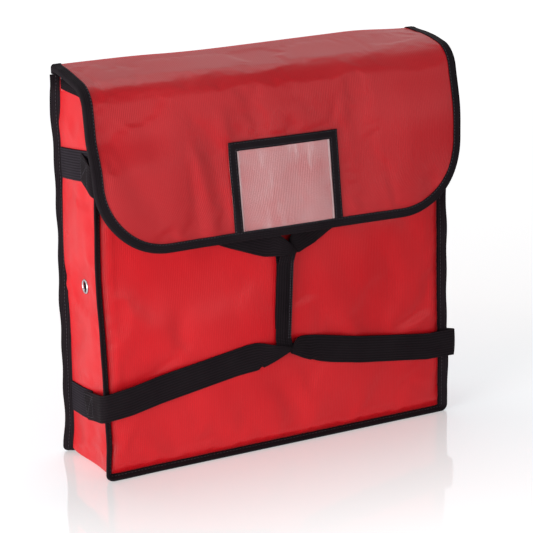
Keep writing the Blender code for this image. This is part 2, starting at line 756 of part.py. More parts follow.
def add_grip(pivot):
    loop = neck_radius + neck_clearance + grip_wall
    waist = loop + grip_wall
    outline = []
    for centre_z, side in ((upper_centre_height, 1), (lower_centre_height, -1)):
        first = -loop_opening if side > 0 else math.pi - loop_opening
        outline.append((grip_y + side * grip_waist / 2, centre_z - side * waist))
        for step in range(loop_steps + 1):
            angle = first + (math.pi + 2 * loop_opening) * step / loop_steps
            outline.append((grip_y + loop * math.cos(angle), centre_z + loop * math.sin(angle)))
        outline.append((grip_y - side * grip_waist / 2, centre_z - side * waist))
    bm = bmesh.new()
    face = bm.faces.new([bm.verts.new((-grip_width / 2, y, z)) for y, z in outline])
    grown = bmesh.ops.extrude_face_region(bm, geom=[face])
    moved = [item for item in grown["geom"] if isinstance(item, bmesh.types.BMVert)]
    bmesh.ops.translate(bm, verts=moved, vec=(grip_width, 0, 0))
    bmesh.ops.recalc_face_normals(bm, faces=bm.faces[:])
    grip = add_object("grip_sleeve", bm, black_webbing, pivot)
    for word, centre_z in (("upper", upper_centre_height), ("lower", lower_centre_height)):
        bm = bmesh.new()
        hole = neck_radius + neck_clearance
        bmesh.ops.create_cone(bm, cap_ends=True, segments=loop_steps * 2, radius1=hole, radius2=hole,
                              depth=grip_width + cutter_overrun)
        cutter = add_object("grip_" + word + "_cutter", bm, black_webbing)
        cutter.rotation_euler = (0, math.pi / 2, 0)
        cutter.location = (0, grip_y, centre_z)
        cutter.hide_render = True
        cutter.display_type = "WIRE"
        cut = grip.modifiers.new(word + "_loop", "BOOLEAN")
        cut.operation = "DIFFERENCE"
        cut.object = cutter
    reach = grip_width / 2 + strap_end_margin
    ends = [(Vector((x, grip_y, lower_centre_height)), Vector((0, -1, 0)), 1.0)
            for x in (-reach, reach)]
    add_strap("lower_strap_fold", strap_rings(ends), pivot)


def build_bag():
    clear_objects()
    add_front_panel()
    add_back_panel()
    add_bottom_panel()
    add_seam_fins()
    add_mouth_bindings()
    for side, word in ((-1, "left"), (1, "right")):
        add_side_panel(side, word)
        add_eyelet(side, word)
    back_fold = add_pivot("flap_back_pivot", flap_point(0, 0, -tape_proud))
    front_fold = add_pivot("flap_front_pivot", flap_point(0, fold_run(), -tape_proud), back_fold)
    add_flap_top(back_fold)
    add_flap_front(front_fold)
    add_pocket(front_fold)
    add_closure(front_fold)
    add_upper_strap()
    swing = add_pivot("grip_pivot", Vector((0, grip_y, upper_centre_height)))
    add_grip(swing)
    for side, word in ((-1, "left"), (1, "right")):
        corner = add_pivot("lower_strap_pivot_" + word, strap_corner(side))
        add_lower_strap(side, word, corner)


build_bag()
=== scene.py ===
import json
import math

import bpy
import numpy as np
from mathutils import Matrix, Vector

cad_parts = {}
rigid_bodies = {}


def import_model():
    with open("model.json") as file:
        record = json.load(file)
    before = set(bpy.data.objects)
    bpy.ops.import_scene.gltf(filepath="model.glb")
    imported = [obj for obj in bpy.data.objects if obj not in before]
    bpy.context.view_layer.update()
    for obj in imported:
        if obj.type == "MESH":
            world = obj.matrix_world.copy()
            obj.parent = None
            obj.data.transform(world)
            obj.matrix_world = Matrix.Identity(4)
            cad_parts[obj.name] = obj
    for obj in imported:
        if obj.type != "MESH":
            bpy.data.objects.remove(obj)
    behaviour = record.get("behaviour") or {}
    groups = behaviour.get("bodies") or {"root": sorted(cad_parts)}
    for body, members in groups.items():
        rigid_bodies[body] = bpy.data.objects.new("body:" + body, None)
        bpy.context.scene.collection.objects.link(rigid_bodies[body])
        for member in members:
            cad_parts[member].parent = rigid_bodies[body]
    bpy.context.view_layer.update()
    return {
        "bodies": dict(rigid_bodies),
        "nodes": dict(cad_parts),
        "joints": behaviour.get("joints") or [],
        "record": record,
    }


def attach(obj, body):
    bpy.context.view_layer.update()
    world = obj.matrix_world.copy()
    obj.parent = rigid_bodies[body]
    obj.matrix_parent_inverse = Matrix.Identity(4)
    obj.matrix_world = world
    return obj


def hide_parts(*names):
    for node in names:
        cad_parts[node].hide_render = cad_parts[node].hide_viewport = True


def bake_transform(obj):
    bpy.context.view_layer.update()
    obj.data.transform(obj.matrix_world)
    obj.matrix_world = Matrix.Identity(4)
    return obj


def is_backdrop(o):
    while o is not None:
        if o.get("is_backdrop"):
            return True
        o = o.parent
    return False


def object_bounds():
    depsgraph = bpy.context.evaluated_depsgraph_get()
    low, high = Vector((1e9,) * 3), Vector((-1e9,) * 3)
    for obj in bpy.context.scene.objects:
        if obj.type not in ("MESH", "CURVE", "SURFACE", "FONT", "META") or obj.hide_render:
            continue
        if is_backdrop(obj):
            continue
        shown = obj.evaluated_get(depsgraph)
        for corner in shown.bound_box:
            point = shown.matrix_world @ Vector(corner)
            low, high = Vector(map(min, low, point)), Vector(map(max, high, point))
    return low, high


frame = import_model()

scene = bpy.context.scene
mm = 0.001
weldReach = 0.00005
pieceGap = 0.0003


def selectOnly(*pieces):
    bpy.ops.object.select_all(action="DESELECT")
    for piece in pieces:
        piece.select_set(True)
    bpy.context.view_layer.objects.active = pieces[0]


def applyModifiers(piece):
    selectOnly(piece)
    for modifier in list(piece.modifiers):
        bpy.ops.object.modifier_apply(modifier=modifier.name)


def editAll(piece, change, **settings):  # one edit-mode command on the whole of a piece
    selectOnly(piece)
    bpy.ops.object.mode_set(mode="EDIT")
    bpy.ops.mesh.select_all(action="SELECT")
    change(**settings)
    bpy.ops.object.mode_set(mode="OBJECT")


def mix(a, b, share):
    return a + (b - a) * share


def ramp(value, low, high):  # smooth step from 0 at low to 1 at high
    share = np.clip((np.asarray(value, float) - low) / (high - low), 0.0, 1.0)
    return share * share * (3 - 2 * share)


def softTable(value, places, amounts, blur=0.012):  # a table of amounts, read smoothly
    steps = np.linspace(-1, 1, 5) * blur
    return sum(np.interp(np.asarray(value, float) + step, places, amounts) for step in steps) / len(steps)


def ripple(a, b, length, seed, waves=5):  # soft unevenness of about +-1 with waves near that length
    draw = np.random.default_rng(seed)
    total = 0.0
    for wave in range(waves):
        angle, phase = draw.uniform(0, math.pi), draw.uniform(0, 2 * math.pi)
        stretch = 2 * math.pi / (length * draw.uniform(0.7, 1.6))
        total = total + np.sin((np.cos(angle) * a + np.sin(angle) * b) * stretch + phase)
    return total / math.sqrt(waves)


def foldLine(a, b, start, end, width, height):  # a soft ridge along a line, fading out at both ends
    run = np.array(end) - np.array(start)
    length = np.hypot(*run)
    along = ((a - start[0]) * run[0] + (b - start[1]) * run[1]) / length ** 2
    off = ((a - start[0]) * run[1] - (b - start[1]) * run[0]) / length
    fade = np.clip(1 - np.abs(2 * along - 1) ** 3, 0, 1) * ((along > 0) & (along < 1))
    return height * np.exp(-(off / width) ** 2) * fade


def foldLines(a, b, lines):  # a table of folds: start, end, width and height, a groove where that is negative
    return sum(foldLine(a, b, *line) for line in lines)


def settle(points):  # the bag stands a little askew: its left back edge and left front foot lie further out
    x, y, z = points[:, 0], points[:, 1], points[:, 2]
    share = ramp(-x, 0.080, 0.210) * ramp(y, -0.020, 0.050)
    out = share * (0.0012 + 0.0026 * ramp(z, 0.300, 0.440))
    foot = ramp(-x, 0.150, 0.207) * ramp(-y, -0.004, 0.037) * (1 - ramp(z, 0.002, 0.045))
    heel = ramp(-x, 0.150, 0.207) * ramp(y, 0.010, 0.048) * (1 - ramp(z, 0.002, 0.035))
    droop = ramp(x, 0.130, 0.220) * ramp(y, -0.010, 0.048) * ramp(z, 0.400, 0.435)
    crest = np.exp(-((x + 0.120) / 0.050) ** 2) * ramp(y, 0.000, 0.048) * ramp(z, 0.400, 0.435)
    return points + np.stack([-out - 0.0040 * foot - 0.0030 * heel, 0.0022 * share - 0.0012 * foot,
                              0.0034 * share * ramp(z, 0.380, 0.440) + 0.0018 * crest - 0.0050 * droop], -1)


def clothGrid(name, columns, rows, place, flatSize, outward=None):
    # a grid laid where place(u, v) says, its UV map in metres of flat cloth
    bpy.ops.object.select_all(action="DESELECT")
    bpy.ops.mesh.primitive_grid_add(x_subdivisions=columns, y_subdivisions=rows, size=1.0)
    piece = bpy.context.object
    piece.name = piece.data.name = name
    mesh = piece.data
    flat = np.zeros(len(mesh.vertices) * 3)
    mesh.vertices.foreach_get("co", flat)
    flat = flat.reshape(-1, 3)
    placed = settle(np.stack(place(flat[:, 0] + 0.5, flat[:, 1] + 0.5), -1))
    mesh.vertices.foreach_set("co", placed.ravel())
    spots = np.zeros(len(mesh.loops) * 2)
    layer = mesh.uv_layers.active
    layer.data.foreach_get("uv", spots)
    spots = spots.reshape(-1, 2) * np.array(flatSize)
    layer.data.foreach_set("uv", spots.ravel())
    mesh.update()
    if outward is not None:
        lean = sum((face.normal * face.area for face in mesh.polygons), Vector())
        if lean.dot(Vector(outward)) < 0:
            editAll(piece, bpy.ops.mesh.flip_normals)
    return piece


def thicken(piece, thickness, offset=-1.0):
    wall = piece.modifiers.new("thickness", "SOLIDIFY")
    wall.thickness = thickness
    wall.offset = offset
    applyModifiers(piece)


def softenEdges(piece, width, segments=2, angle=50):
    bevel = piece.modifiers.new("softEdge", "BEVEL")
    bevel.width = width
    bevel.segments = segments
    bevel.limit_method = "ANGLE"
    bevel.angle_limit = math.radians(angle)
    applyModifiers(piece)


def smoothShade(piece, angle=45):
    selectOnly(piece)
    bpy.ops.object.shade_smooth_by_angle(angle=math.radians(angle))


def joinPieces(name, pieces):
    selectOnly(*pieces)
    bpy.ops.object.join()
    joined = bpy.context.object
    joined.name = joined.data.name = name
    return joined


def weldPoints(piece, reach):
    editAll(piece, bpy.ops.mesh.remove_doubles, threshold=reach)
    return piece


def readPoints(piece):
    points = np.zeros(len(piece.data.vertices) * 3)
    piece.data.vertices.foreach_get("co", points)
    return points.reshape(-1, 3)


def crumple(piece, held, values):  # cloth a little too long for its seams buckles into wrinkles
    before = readPoints(piece)
    group = piece.vertex_groups.new(name="held")
    group.add([int(index) for index in np.flatnonzero(held)], 1.0, "REPLACE")
    cloth = piece.modifiers.new("crumple", "CLOTH")
    cloth.settings.quality = 5
    cloth.settings.mass = values["mass"]
    cloth.settings.tension_stiffness = cloth.settings.compression_stiffness = values["stiffness"]
    cloth.settings.shear_stiffness = values["stiffness"]
    cloth.settings.bending_stiffness = values["bending"]
    cloth.settings.shrink_min = -values["growth"]
    cloth.settings.vertex_group_mass = "held"
    cloth.settings.effector_weights.gravity = 0.0
    cloth.collision_settings.use_collision = False
    cloth.point_cache.frame_start, cloth.point_cache.frame_end = 1, values["frames"]
    for frame in range(1, values["frames"] + 1):
        scene.frame_set(frame)
    applyModifiers(piece)
    scene.frame_set(1)
    piece.vertex_groups.clear()
    move = readPoints(piece) - before
    size = np.linalg.norm(move, axis=1) + 1e-9
    print("crumpled", piece.name, "mean %.2f mm, most %.2f mm" % (size.mean() / mm, size.max() / mm))
    move *= (np.tanh(size / values["cap"]) * values["cap"] / size)[:, None]
    piece.data.vertices.foreach_set("co", (before + move).ravel())
    piece.data.update()


def dress(piece, material):
    piece.data.materials.clear()
    piece.data.materials.append(material)


def addNode(tree, kind, **settings):  # the finishes are built from this and the helpers below
    node = tree.nodes.new(kind)
    for name, value in settings.items():
        if name == "inputs":
            for socket, amount in value.items():
                node.inputs[socket].default_value = amount
        else:
            setattr(node, name, value)
    return node


def mathNode(tree, operation, first, second=None):
    node = addNode(tree, "ShaderNodeMath", operation=operation)
    for index, value in enumerate((first, second)):
        if value is None:
            continue
        if isinstance(value, (int, float)):
            node.inputs[index].default_value = value
        else:
            tree.links.new(value, node.inputs[index])
    return node.outputs[0]


def newGroup(name, inputs, outputs):
    group = bpy.data.node_groups.new(name, "ShaderNodeTree")
    for label, kind, value in inputs:
        socket = group.interface.new_socket(label, in_out="INPUT", socket_type=kind)
        if value is not None:
            socket.default_value = value
    for label, kind in outputs:
        group.interface.new_socket(label, in_out="OUTPUT", socket_type=kind)
    start = group.nodes.new("NodeGroupInput")
    end = group.nodes.new("NodeGroupOutput")
    return group, start, end


def makeWeaveGroup():
    # threads across and along, in millimetres, as a height from 0 to 1
    group, start, end = newGroup("threadWeave", [
        ("Vector", "NodeSocketVector", None), ("Across", "NodeSocketFloat", 1.0),
        ("Along", "NodeSocketFloat", 1.0), ("Twill", "NodeSocketFloat", 0.0), ("Ribs", "NodeSocketFloat", 0.0)],
        [("Height", "NodeSocketFloat")])
    split = addNode(group, "ShaderNodeSeparateXYZ")
    group.links.new(start.outputs["Vector"], split.inputs[0])
    waves = []
    for axis, period in (("X", "Across"), ("Y", "Along")):
        share = mathNode(group, "DIVIDE", split.outputs[axis], start.outputs[period])
        if axis == "Y":
            slant = mathNode(group, "MULTIPLY", split.outputs["X"], start.outputs["Twill"])
            share = mathNode(group, "ADD", share, slant)
        turn = mathNode(group, "MULTIPLY", share, 2 * math.pi)
        wave = mathNode(group, "SINE", turn)
        waves.append(mathNode(group, "MULTIPLY_ADD", wave, 0.5))
        waves[-1].node.inputs[2].default_value = 0.5
    both = mathNode(group, "MULTIPLY", waves[0], waves[1])
    height = mathNode(group, "POWER", both, 0.5)
    lift = mathNode(group, "SUBTRACT", waves[0], height)
    lift = mathNode(group, "MULTIPLY", lift, start.outputs["Ribs"])
    height = mathNode(group, "ADD", height, lift)
    group.links.new(height, end.inputs["Height"])
    return group


def makeMottleGroup():
    # uneven dye and handling marks as a value round 0.5, and a fine grain
    group, start, end = newGroup("unevenDye", [
        ("Vector", "NodeSocketVector", None), ("Patch", "NodeSocketFloat", 8.0),
        ("Grain", "NodeSocketFloat", 900.0), ("Seed", "NodeSocketFloat", 0.0)],
        [("Patches", "NodeSocketFloat"), ("Grain", "NodeSocketFloat")])
    shift = addNode(group, "ShaderNodeVectorMath", operation="ADD")
    group.links.new(start.outputs["Vector"], shift.inputs[0])
    group.links.new(start.outputs["Seed"], shift.inputs[1])
    for label, scaleFrom, detail in (("Patches", "Patch", 3.0), ("Grain", "Grain", 2.0)):
        noise = addNode(group, "ShaderNodeTexNoise", inputs={"Detail": detail, "Roughness": 0.55})
        group.links.new(shift.outputs[0], noise.inputs["Vector"])
        group.links.new(start.outputs[scaleFrom], noise.inputs["Scale"])
        group.links.new(noise.outputs["Fac"], end.inputs[label])
    return group


weaveGroup = makeWeaveGroup()
mottleGroup = makeMottleGroup()


def startMaterial(name, color, roughness, metallic=0.0):
    material = bpy.data.materials.new(name)
    material.use_nodes = True
    tree = material.node_tree
    shader = tree.nodes["Principled BSDF"]
    shader.inputs["Base Color"].default_value = (*color, 1.0)
    shader.inputs["Roughness"].default_value = roughness
    shader.inputs["Metallic"].default_value = metallic
    material.diffuse_color = (*color, 1.0)
    return material, tree, shader


def uvInMillimetres(tree):
    where = addNode(tree, "ShaderNodeTexCoord")
    scale = addNode(tree, "ShaderNodeMapping")
    scale.inputs["Scale"].default_value = (1000, 1000, 1000)
    tree.links.new(where.outputs["UV"], scale.inputs["Vector"])
    return where.outputs["UV"], scale.outputs["Vector"]


def placeGroup(tree, group, vector, **values):
    node = addNode(tree, "ShaderNodeGroup", node_tree=group)
    tree.links.new(vector, node.inputs["Vector"])
    for name, value in values.items():
        node.inputs[name].default_value = value
    return node


def mixColors(tree, share, first, second):
    node = addNode(tree, "ShaderNodeMix", data_type="RGBA")
    tree.links.new(share, node.inputs["Factor"])
    for index, value in ((6, first), (7, second)):
        if isinstance(value, tuple):
            node.inputs[index].default_value = (*value, 1.0)
        else:
            tree.links.new(value, node.inputs[index])
    return node.outputs[2]


def mapRange(tree, value, fromLow, fromHigh, toLow, toHigh):
    node = addNode(tree, "ShaderNodeMapRange")
    tree.links.new(value, node.inputs["Value"])
    for name, amount in (("From Min", fromLow), ("From Max", fromHigh), ("To Min", toLow), ("To Max", toHigh)):
        node.inputs[name].default_value = amount
    return node.outputs["Result"]


def addBump(tree, shader, height, distance, strength=1.0, before=None):
    bump = addNode(tree, "ShaderNodeBump", inputs={"Distance": distance, "Strength": strength})
    tree.links.new(height, bump.inputs["Height"])
    if before is not None:
        tree.links.new(before, bump.inputs["Normal"])
    tree.links.new(bump.outputs["Normal"], shader.inputs["Normal"])
    return bump.outputs["Normal"]


# the deeper reds are painted shade, mixed into the rib grooves
coatedFabric = {
    "body": {"red": (0.600, 0.004, 0.010), "grooveShadeRed": (0.470, 0.002, 0.006),
             "paleRed": (0.640, 0.010, 0.016), "seed": 3.0},
    # the flap's reds are the body's cloth painted darker: painted shade for the flap, which takes less light
    # than the front
    "flap": {"red": (0.500, 0.004, 0.010), "grooveShadeRed": (0.380, 0.002, 0.005),
             "paleRed": (0.540, 0.016, 0.022), "seed": 8.0},
    "roughness": (0.27, 0.40), "ribAcross": 2.1, "ribAlong": 1.3, "ribs": 0.8, "ribDepth": 0.00012,
    "grain": 900.0, "grainDepth": 0.00010, "grainStrength": 0.6, "patch": 7.0, "groove": 0.30,
    "ior": 1.42, "shine": 0.34, "sheen": 0.09, "sheenRoughness": 0.35, "sheenTint": (1.0, 0.72, 0.72),
}


def makeCoatedFabric(kind):
    values, shades = coatedFabric, coatedFabric[kind]
    material, tree, shader = startMaterial("coatedFabric_" + kind, shades["red"], values["roughness"][0])
    metres, millimetres = uvInMillimetres(tree)
    ribs = placeGroup(tree, weaveGroup, millimetres, Across=values["ribAcross"], Along=values["ribAlong"],
                      Ribs=values["ribs"])
    dye = placeGroup(tree, mottleGroup, metres, Patch=values["patch"], Grain=values["grain"],
                     Seed=shades["seed"])
    patches = mapRange(tree, dye.outputs["Patches"], 0.35, 0.65, 0.0, 1.0)
    color = mixColors(tree, patches, shades["red"], shades["paleRed"])
    # painted shade: the rib grooves are coloured a deeper red
    groove = mapRange(tree, ribs.outputs["Height"], 0.0, 0.6, values["groove"], 0.0)
    color = mixColors(tree, groove, color, shades["grooveShadeRed"])
    tree.links.new(color, shader.inputs["Base Color"])
    rough = mapRange(tree, dye.outputs["Patches"], 0.3, 0.7, *values["roughness"])
    tree.links.new(rough, shader.inputs["Roughness"])
    shader.inputs["IOR"].default_value = values["ior"]
    shader.inputs["Specular IOR Level"].default_value = values["shine"]
    shader.inputs["Sheen Weight"].default_value = values["sheen"]
    shader.inputs["Sheen Roughness"].default_value = values["sheenRoughness"]
    shader.inputs["Sheen Tint"].default_value = (*values["sheenTint"], 1.0)
    first = addBump(tree, shader, ribs.outputs["Height"], values["ribDepth"])
    addBump(tree, shader, dye.outputs["Grain"], values["grainDepth"], values["grainStrength"], first)
    return material


# dark is each cloth's own colour; the lighter colour on the raised threads is painted highlight
woven = {  # thread counts and rib slant in millimetres of cloth, the depth in metres
    "edgeTapeBlack": {"dark": (0.0060, 0.0040, 0.0050), "raisedThreadHighlight": (0.026, 0.019, 0.025),
                      "across": 1.2, "along": 1.1, "twill": 0.0, "ribs": 0.0, "depth": 0.00010, "seed": 1.0},
    "webbingBlack": {"dark": (0.0050, 0.0032, 0.0042), "raisedThreadHighlight": (0.019, 0.013, 0.017),
                     "across": 2.9, "along": 1.1, "twill": 0.10, "ribs": 0.32, "depth": 0.00025, "seed": 4.0},
    "tabWebbing": {"dark": (0.0090, 0.0065, 0.0090), "raisedThreadHighlight": (0.040, 0.032, 0.042),
                   "across": 2.9, "along": 1.1, "twill": 0.10, "ribs": 0.32, "depth": 0.00025, "seed": 6.0},
    "sewThread": {"dark": (0.045, 0.040, 0.048), "raisedThreadHighlight": (0.150, 0.135, 0.155),
                  "across": 0.4, "along": 0.4, "twill": 0.5, "ribs": 0.0, "depth": 0.00005, "seed": 7.0},
    "hookAndLoop": {"dark": (0.012, 0.012, 0.013), "raisedThreadHighlight": (0.050, 0.050, 0.052),
                    "across": 0.9, "along": 0.9, "twill": 0.0, "ribs": 0.0, "depth": 0.0006, "seed": 8.0},
}


def makeWebbing(name):
    values = woven[name]
    material, tree, shader = startMaterial(name, values["dark"], 0.85)
    metres, millimetres = uvInMillimetres(tree)
    threads = placeGroup(tree, weaveGroup, millimetres, Across=values["across"], Along=values["along"],
                         Twill=values["twill"], Ribs=values["ribs"])
    dye = placeGroup(tree, mottleGroup, metres, Patch=30.0, Grain=2500.0, Seed=values["seed"])
    # painted highlight and shade: raised threads are coloured lighter, the gaps between them darker
    lit = mathNode(tree, "MULTIPLY", threads.outputs["Height"], dye.outputs["Grain"])
    color = mixColors(tree, mapRange(tree, lit, 0.1, 0.6, 0.0, 1.0), values["dark"], values["raisedThreadHighlight"])
    tree.links.new(color, shader.inputs["Base Color"])
    tree.links.new(mapRange(tree, dye.outputs["Patches"], 0.3, 0.7, 0.72, 0.92), shader.inputs["Roughness"])
    shader.inputs["Specular IOR Level"].default_value = 0.08
    first = addBump(tree, shader, threads.outputs["Height"], values["depth"])
    addBump(tree, shader, dye.outputs["Grain"], values["depth"] * 0.5, 0.7, first)
    return material


def makeLining():
    material, tree, shader = startMaterial("silverLining", (0.55, 0.56, 0.58), 0.34, 0.75)
    metres, millimetres = uvInMillimetres(tree)
    dye = placeGroup(tree, mottleGroup, metres, Patch=60.0, Grain=1400.0, Seed=9.0)
    shade = mixColors(tree, dye.outputs["Patches"], (0.42, 0.43, 0.46), (0.72, 0.73, 0.75))
    tree.links.new(shade, shader.inputs["Base Color"])
    tree.links.new(mapRange(tree, dye.outputs["Patches"], 0.3, 0.7, 0.26, 0.46), shader.inputs["Roughness"])
    grid = placeGroup(tree, weaveGroup, millimetres, Across=5.0, Along=5.0)
    first = addBump(tree, shader, dye.outputs["Patches"], 0.0012, 0.6)
    addBump(tree, shader, grid.outputs["Height"], 0.00005, 0.5, first)
    return material


# haze is the film's own milkiness; the wisps and the rim lines are painted highlight
film = {"milk": (1.00, 0.80, 0.81), "haze": (0.11, 0.19), "towardRight": 0.04, "wispHighlight": 0.18, "rim": 0.25,
        "highlightRims": (0.0106, 0.1206), "highlightRimWidth": 0.0016}


def makeClearFilm():
    material, tree, shader = startMaterial("milkyFilm", film["milk"], 0.22)
    metres, _ = uvInMillimetres(tree)
    dye = placeGroup(tree, mottleGroup, metres, Patch=14.0, Grain=300.0, Seed=5.0)
    split = addNode(tree, "ShaderNodeSeparateXYZ")
    tree.links.new(metres, split.inputs[0])
    turned = addNode(tree, "ShaderNodeMapping")
    turned.inputs["Rotation"].default_value = (0, 0, math.radians(28))
    turned.inputs["Scale"].default_value = (1.0, 0.22, 1.0)
    tree.links.new(metres, turned.inputs["Vector"])
    highlightWisps = placeGroup(tree, mottleGroup, turned.outputs["Vector"], Patch=42.0, Grain=120.0, Seed=2.0)
    # the alpha adds painted highlight wisps to the film's own milky haze
    milkAndHighlight = mapRange(tree, highlightWisps.outputs["Patches"], 0.54, 0.72, 0.0, film["wispHighlight"])
    haze = mapRange(tree, dye.outputs["Patches"], 0.35, 0.65, *film["haze"])
    milkAndHighlight = mathNode(tree, "ADD", milkAndHighlight, haze)
    rightward = mapRange(tree, split.outputs["X"], 0.0, 0.115, 0.0, film["towardRight"])
    milkAndHighlight = mathNode(tree, "ADD", milkAndHighlight, rightward)
    for place in film["highlightRims"]:  # painted highlight: thin whiter lines where the film bends into the tape
        away = mathNode(tree, "ABSOLUTE", mathNode(tree, "SUBTRACT", split.outputs["X"], place))
        milkAndHighlight = mathNode(tree, "ADD", milkAndHighlight, mapRange(tree, away, 0.0, film["highlightRimWidth"], film["rim"], 0.0))
    tree.links.new(milkAndHighlight, shader.inputs["Alpha"])
    tree.links.new(mapRange(tree, dye.outputs["Patches"], 0.35, 0.65, 0.15, 0.3), shader.inputs["Roughness"])
    addBump(tree, shader, highlightWisps.outputs["Patches"], 0.0012, 0.5)
    return material


def makeMetal():
    material, tree, shader = startMaterial("platedMetal", (0.55, 0.55, 0.57), 0.20, 1.0)
    where = addNode(tree, "ShaderNodeTexCoord")
    dye = placeGroup(tree, mottleGroup, where.outputs["Object"], Patch=400.0, Grain=5000.0, Seed=2.0)
    shade = mixColors(tree, dye.outputs["Patches"], (0.42, 0.42, 0.44), (0.66, 0.66, 0.68))
    tree.links.new(shade, shader.inputs["Base Color"])
    tree.links.new(mapRange(tree, dye.outputs["Patches"], 0.3, 0.7, 0.12, 0.3), shader.inputs["Roughness"])
    addBump(tree, shader, dye.outputs["Grain"], 0.00002, 0.5)
    return material


redFabric = makeCoatedFabric("body")
# the flap's fabric is a darker copy of the same cloth: painted shade on the flap
flapShadedFabric = makeCoatedFabric("flap")
blackTape = makeWebbing("edgeTapeBlack")
blackWebbing = makeWebbing("webbingBlack")
greyWebbing = makeWebbing("tabWebbing")
sewThread = makeWebbing("sewThread")
hookCloth = makeWebbing("hookAndLoop")
silverLining = makeLining()
clearFilm = makeClearFilm()
platedMetal = makeMetal()
print("finishes ready")


bag = {
    "frontHalf": 0.2070, "backHalf": 0.2114, "frontFloorY": -0.03746, "backY": 0.04854,
    "lean": 0.0125, "leanHeight": 0.2500, "tuck": 0.0080, "tuckHeight": 0.3000,
    "frontTop": 0.4050, "sideTop": 0.4210, "backTop": 0.4289, "floorGap": 0.0040, "bend": 0.0030,
    "backSeamTop": 0.4276, "wall": 0.0051, "skin": 0.0008, "lining": 0.0005, "seamWeld": 0.0003,
    "mouthShares": [0.0, 0.08, 0.2, 0.4, 1.0], "mouthHeights": [0.4050, 0.4115, 0.4170, 0.4200, 0.4210],
    "frontBulge": 0.0090, "backBulge": 0.0030, "sideBulge": 0.0030,
    "rollHeight": 0.0060, "rollRun": 0.0062, "ridgeHeight": 0.0010, "floorSag": 0.0040,
    "shiftHeights": [0.0, 0.061, 0.132, 0.167, 0.217, 0.267, 0.306, 0.405],
    "leftShift": [0.0, 0.0, 0.0, 0.002, 0.006, 0.005, 0.003, 0.0],
    "rightShift": [0.0, -0.004, -0.005, -0.005, -0.005, -0.003, -0.002, 0.0],
    "columns": 84, "rows": 96, "topRows": 3, "bendRows": 7, "sideColumns": 22,
    "frontFolds": [
        ((0.150, 0.104), (0.200, 0.118), 0.0042, 0.0016),
        ((0.140, 0.112), (0.196, 0.128), 0.0045, -0.0012),
        ((0.168, 0.160), (0.202, 0.182), 0.0040, 0.0013),
        ((0.172, 0.172), (0.203, 0.196), 0.0032, 0.0010),
        ((0.020, 0.160), (0.052, 0.165), 0.0030, 0.0004),
        ((-0.030, 0.166), (0.004, 0.169), 0.0030, -0.0004),
        ((-0.200, 0.092), (-0.120, 0.128), 0.0080, -0.0012),
        ((-0.195, 0.030), (-0.178, 0.058), 0.0040, 0.0008),
        ((0.205, 0.020), (0.150, 0.050), 0.0060, -0.0013),
    ],
    "backFolds": [
        ((-0.205, 0.080), (-0.140, 0.120), 0.006, 0.0008),
        ((0.204, 0.060), (0.120, 0.085), 0.006, 0.0008),
    ],
    "sideFolds": [
        ((-0.030, 0.034), (0.040, 0.010), 0.006, 0.0016),
        ((-0.006, 0.120), (0.002, 0.300), 0.006, 0.0008),
        ((0.020, 0.110), (0.026, 0.330), 0.007, -0.0008),
    ],
}
bag["depth"] = bag["backY"] - bag["frontFloorY"]


def frontSeamY(z, x):  # the front seam leans back, a little differently left and right
    z = np.asarray(z, float)
    rise = np.clip(z / bag["leanHeight"], 0, 1)
    tuckShare = np.clip((z - bag["tuckHeight"]) / (bag["frontTop"] - bag["tuckHeight"]), 0, None)
    base = bag["frontFloorY"] + bag["lean"] * (1 - (1 - rise) ** 2) + bag["tuck"] * tuckShare ** 2
    right = (x / bag["frontHalf"] + 1) / 2
    left = softTable(z, bag["shiftHeights"], bag["leftShift"])
    return base + mix(left, softTable(z, bag["shiftHeights"], bag["rightShift"]), right)


def halfWidth(y):
    return mix(bag["frontHalf"], bag["backHalf"], (y - bag["frontFloorY"]) / bag["depth"])


def panelRow(v, width, top):  # reach and height of a panel row: round the gusset's bend, then straight up
    share = bag["bendRows"] / bag["rows"]
    turn = np.clip(v / share, 0, 1) * math.pi / 2
    reach = width - bag["bend"] * (1 - np.sin(turn))
    low = bag["floorGap"] + bag["bend"] * (1 - np.cos(turn))
    climb = np.clip((v - share) / (1 - share), 0, 1)
    return reach, low + (top - bag["floorGap"] - bag["bend"]) * climb


def pillow(x, z, width, top):
    middle = (bag["floorGap"] + top) / 2
    return np.clip(1 - (x / width) ** 2, 0, 1) * np.clip(1 - ((z - middle) / (top - middle)) ** 2, 0, 1)


def edgeRoll(distance):  # padded cloth rises steeply from a seam
    return 1 - np.exp(-np.clip(distance, 0, None) / bag["rollRun"])


def ridge(distance, place, width):
    return np.exp(-((distance - place) / width) ** 2)


def frontFaceY(x, z, reach):
    sideGap = reach - np.abs(x)
    footGap = z - bag["floorGap"]
    topFade = 1 - ramp(z, 0.30, 0.39)
    body = bag["frontBulge"] * pillow(x, z, bag["frontHalf"], bag["frontTop"])
    roll = bag["rollHeight"] * edgeRoll(sideGap) * edgeRoll(footGap) * (0.35 + 0.65 * topFade)
    rib = bag["ridgeHeight"] * ridge(sideGap, 0.0095, 0.0050) * ramp(z, 0.03, 0.09) * topFade
    rib = rib + 0.0016 * ridge(footGap, 0.0105, 0.0045) * (0.35 + 0.65 * ramp(x, 0.02, 0.16))
    creases = foldLines(x, z, bag["frontFolds"])
    inside = np.clip(sideGap / 0.02, 0, 1) * np.clip(footGap / 0.02, 0, 1)
    atSeam = np.clip(sideGap / 0.003, 0, 1) * np.clip(footGap / 0.003, 0, 1)
    slow = 0.0011 * ripple(x, z, 0.150, 11) + 0.00035 * ripple(x, z * 0.7, 0.045, 12)
    puckers = 0.00035 * ripple(z, x * 0.3, 0.011, 13) * ridge(sideGap, 0.004, 0.006)
    puckers = puckers + 0.0003 * ripple(x, z * 0.3, 0.013, 14) * ridge(footGap, 0.004, 0.006)
    return frontSeamY(z, x) - body - roll - (rib + creases + puckers) * atSeam - slow * inside


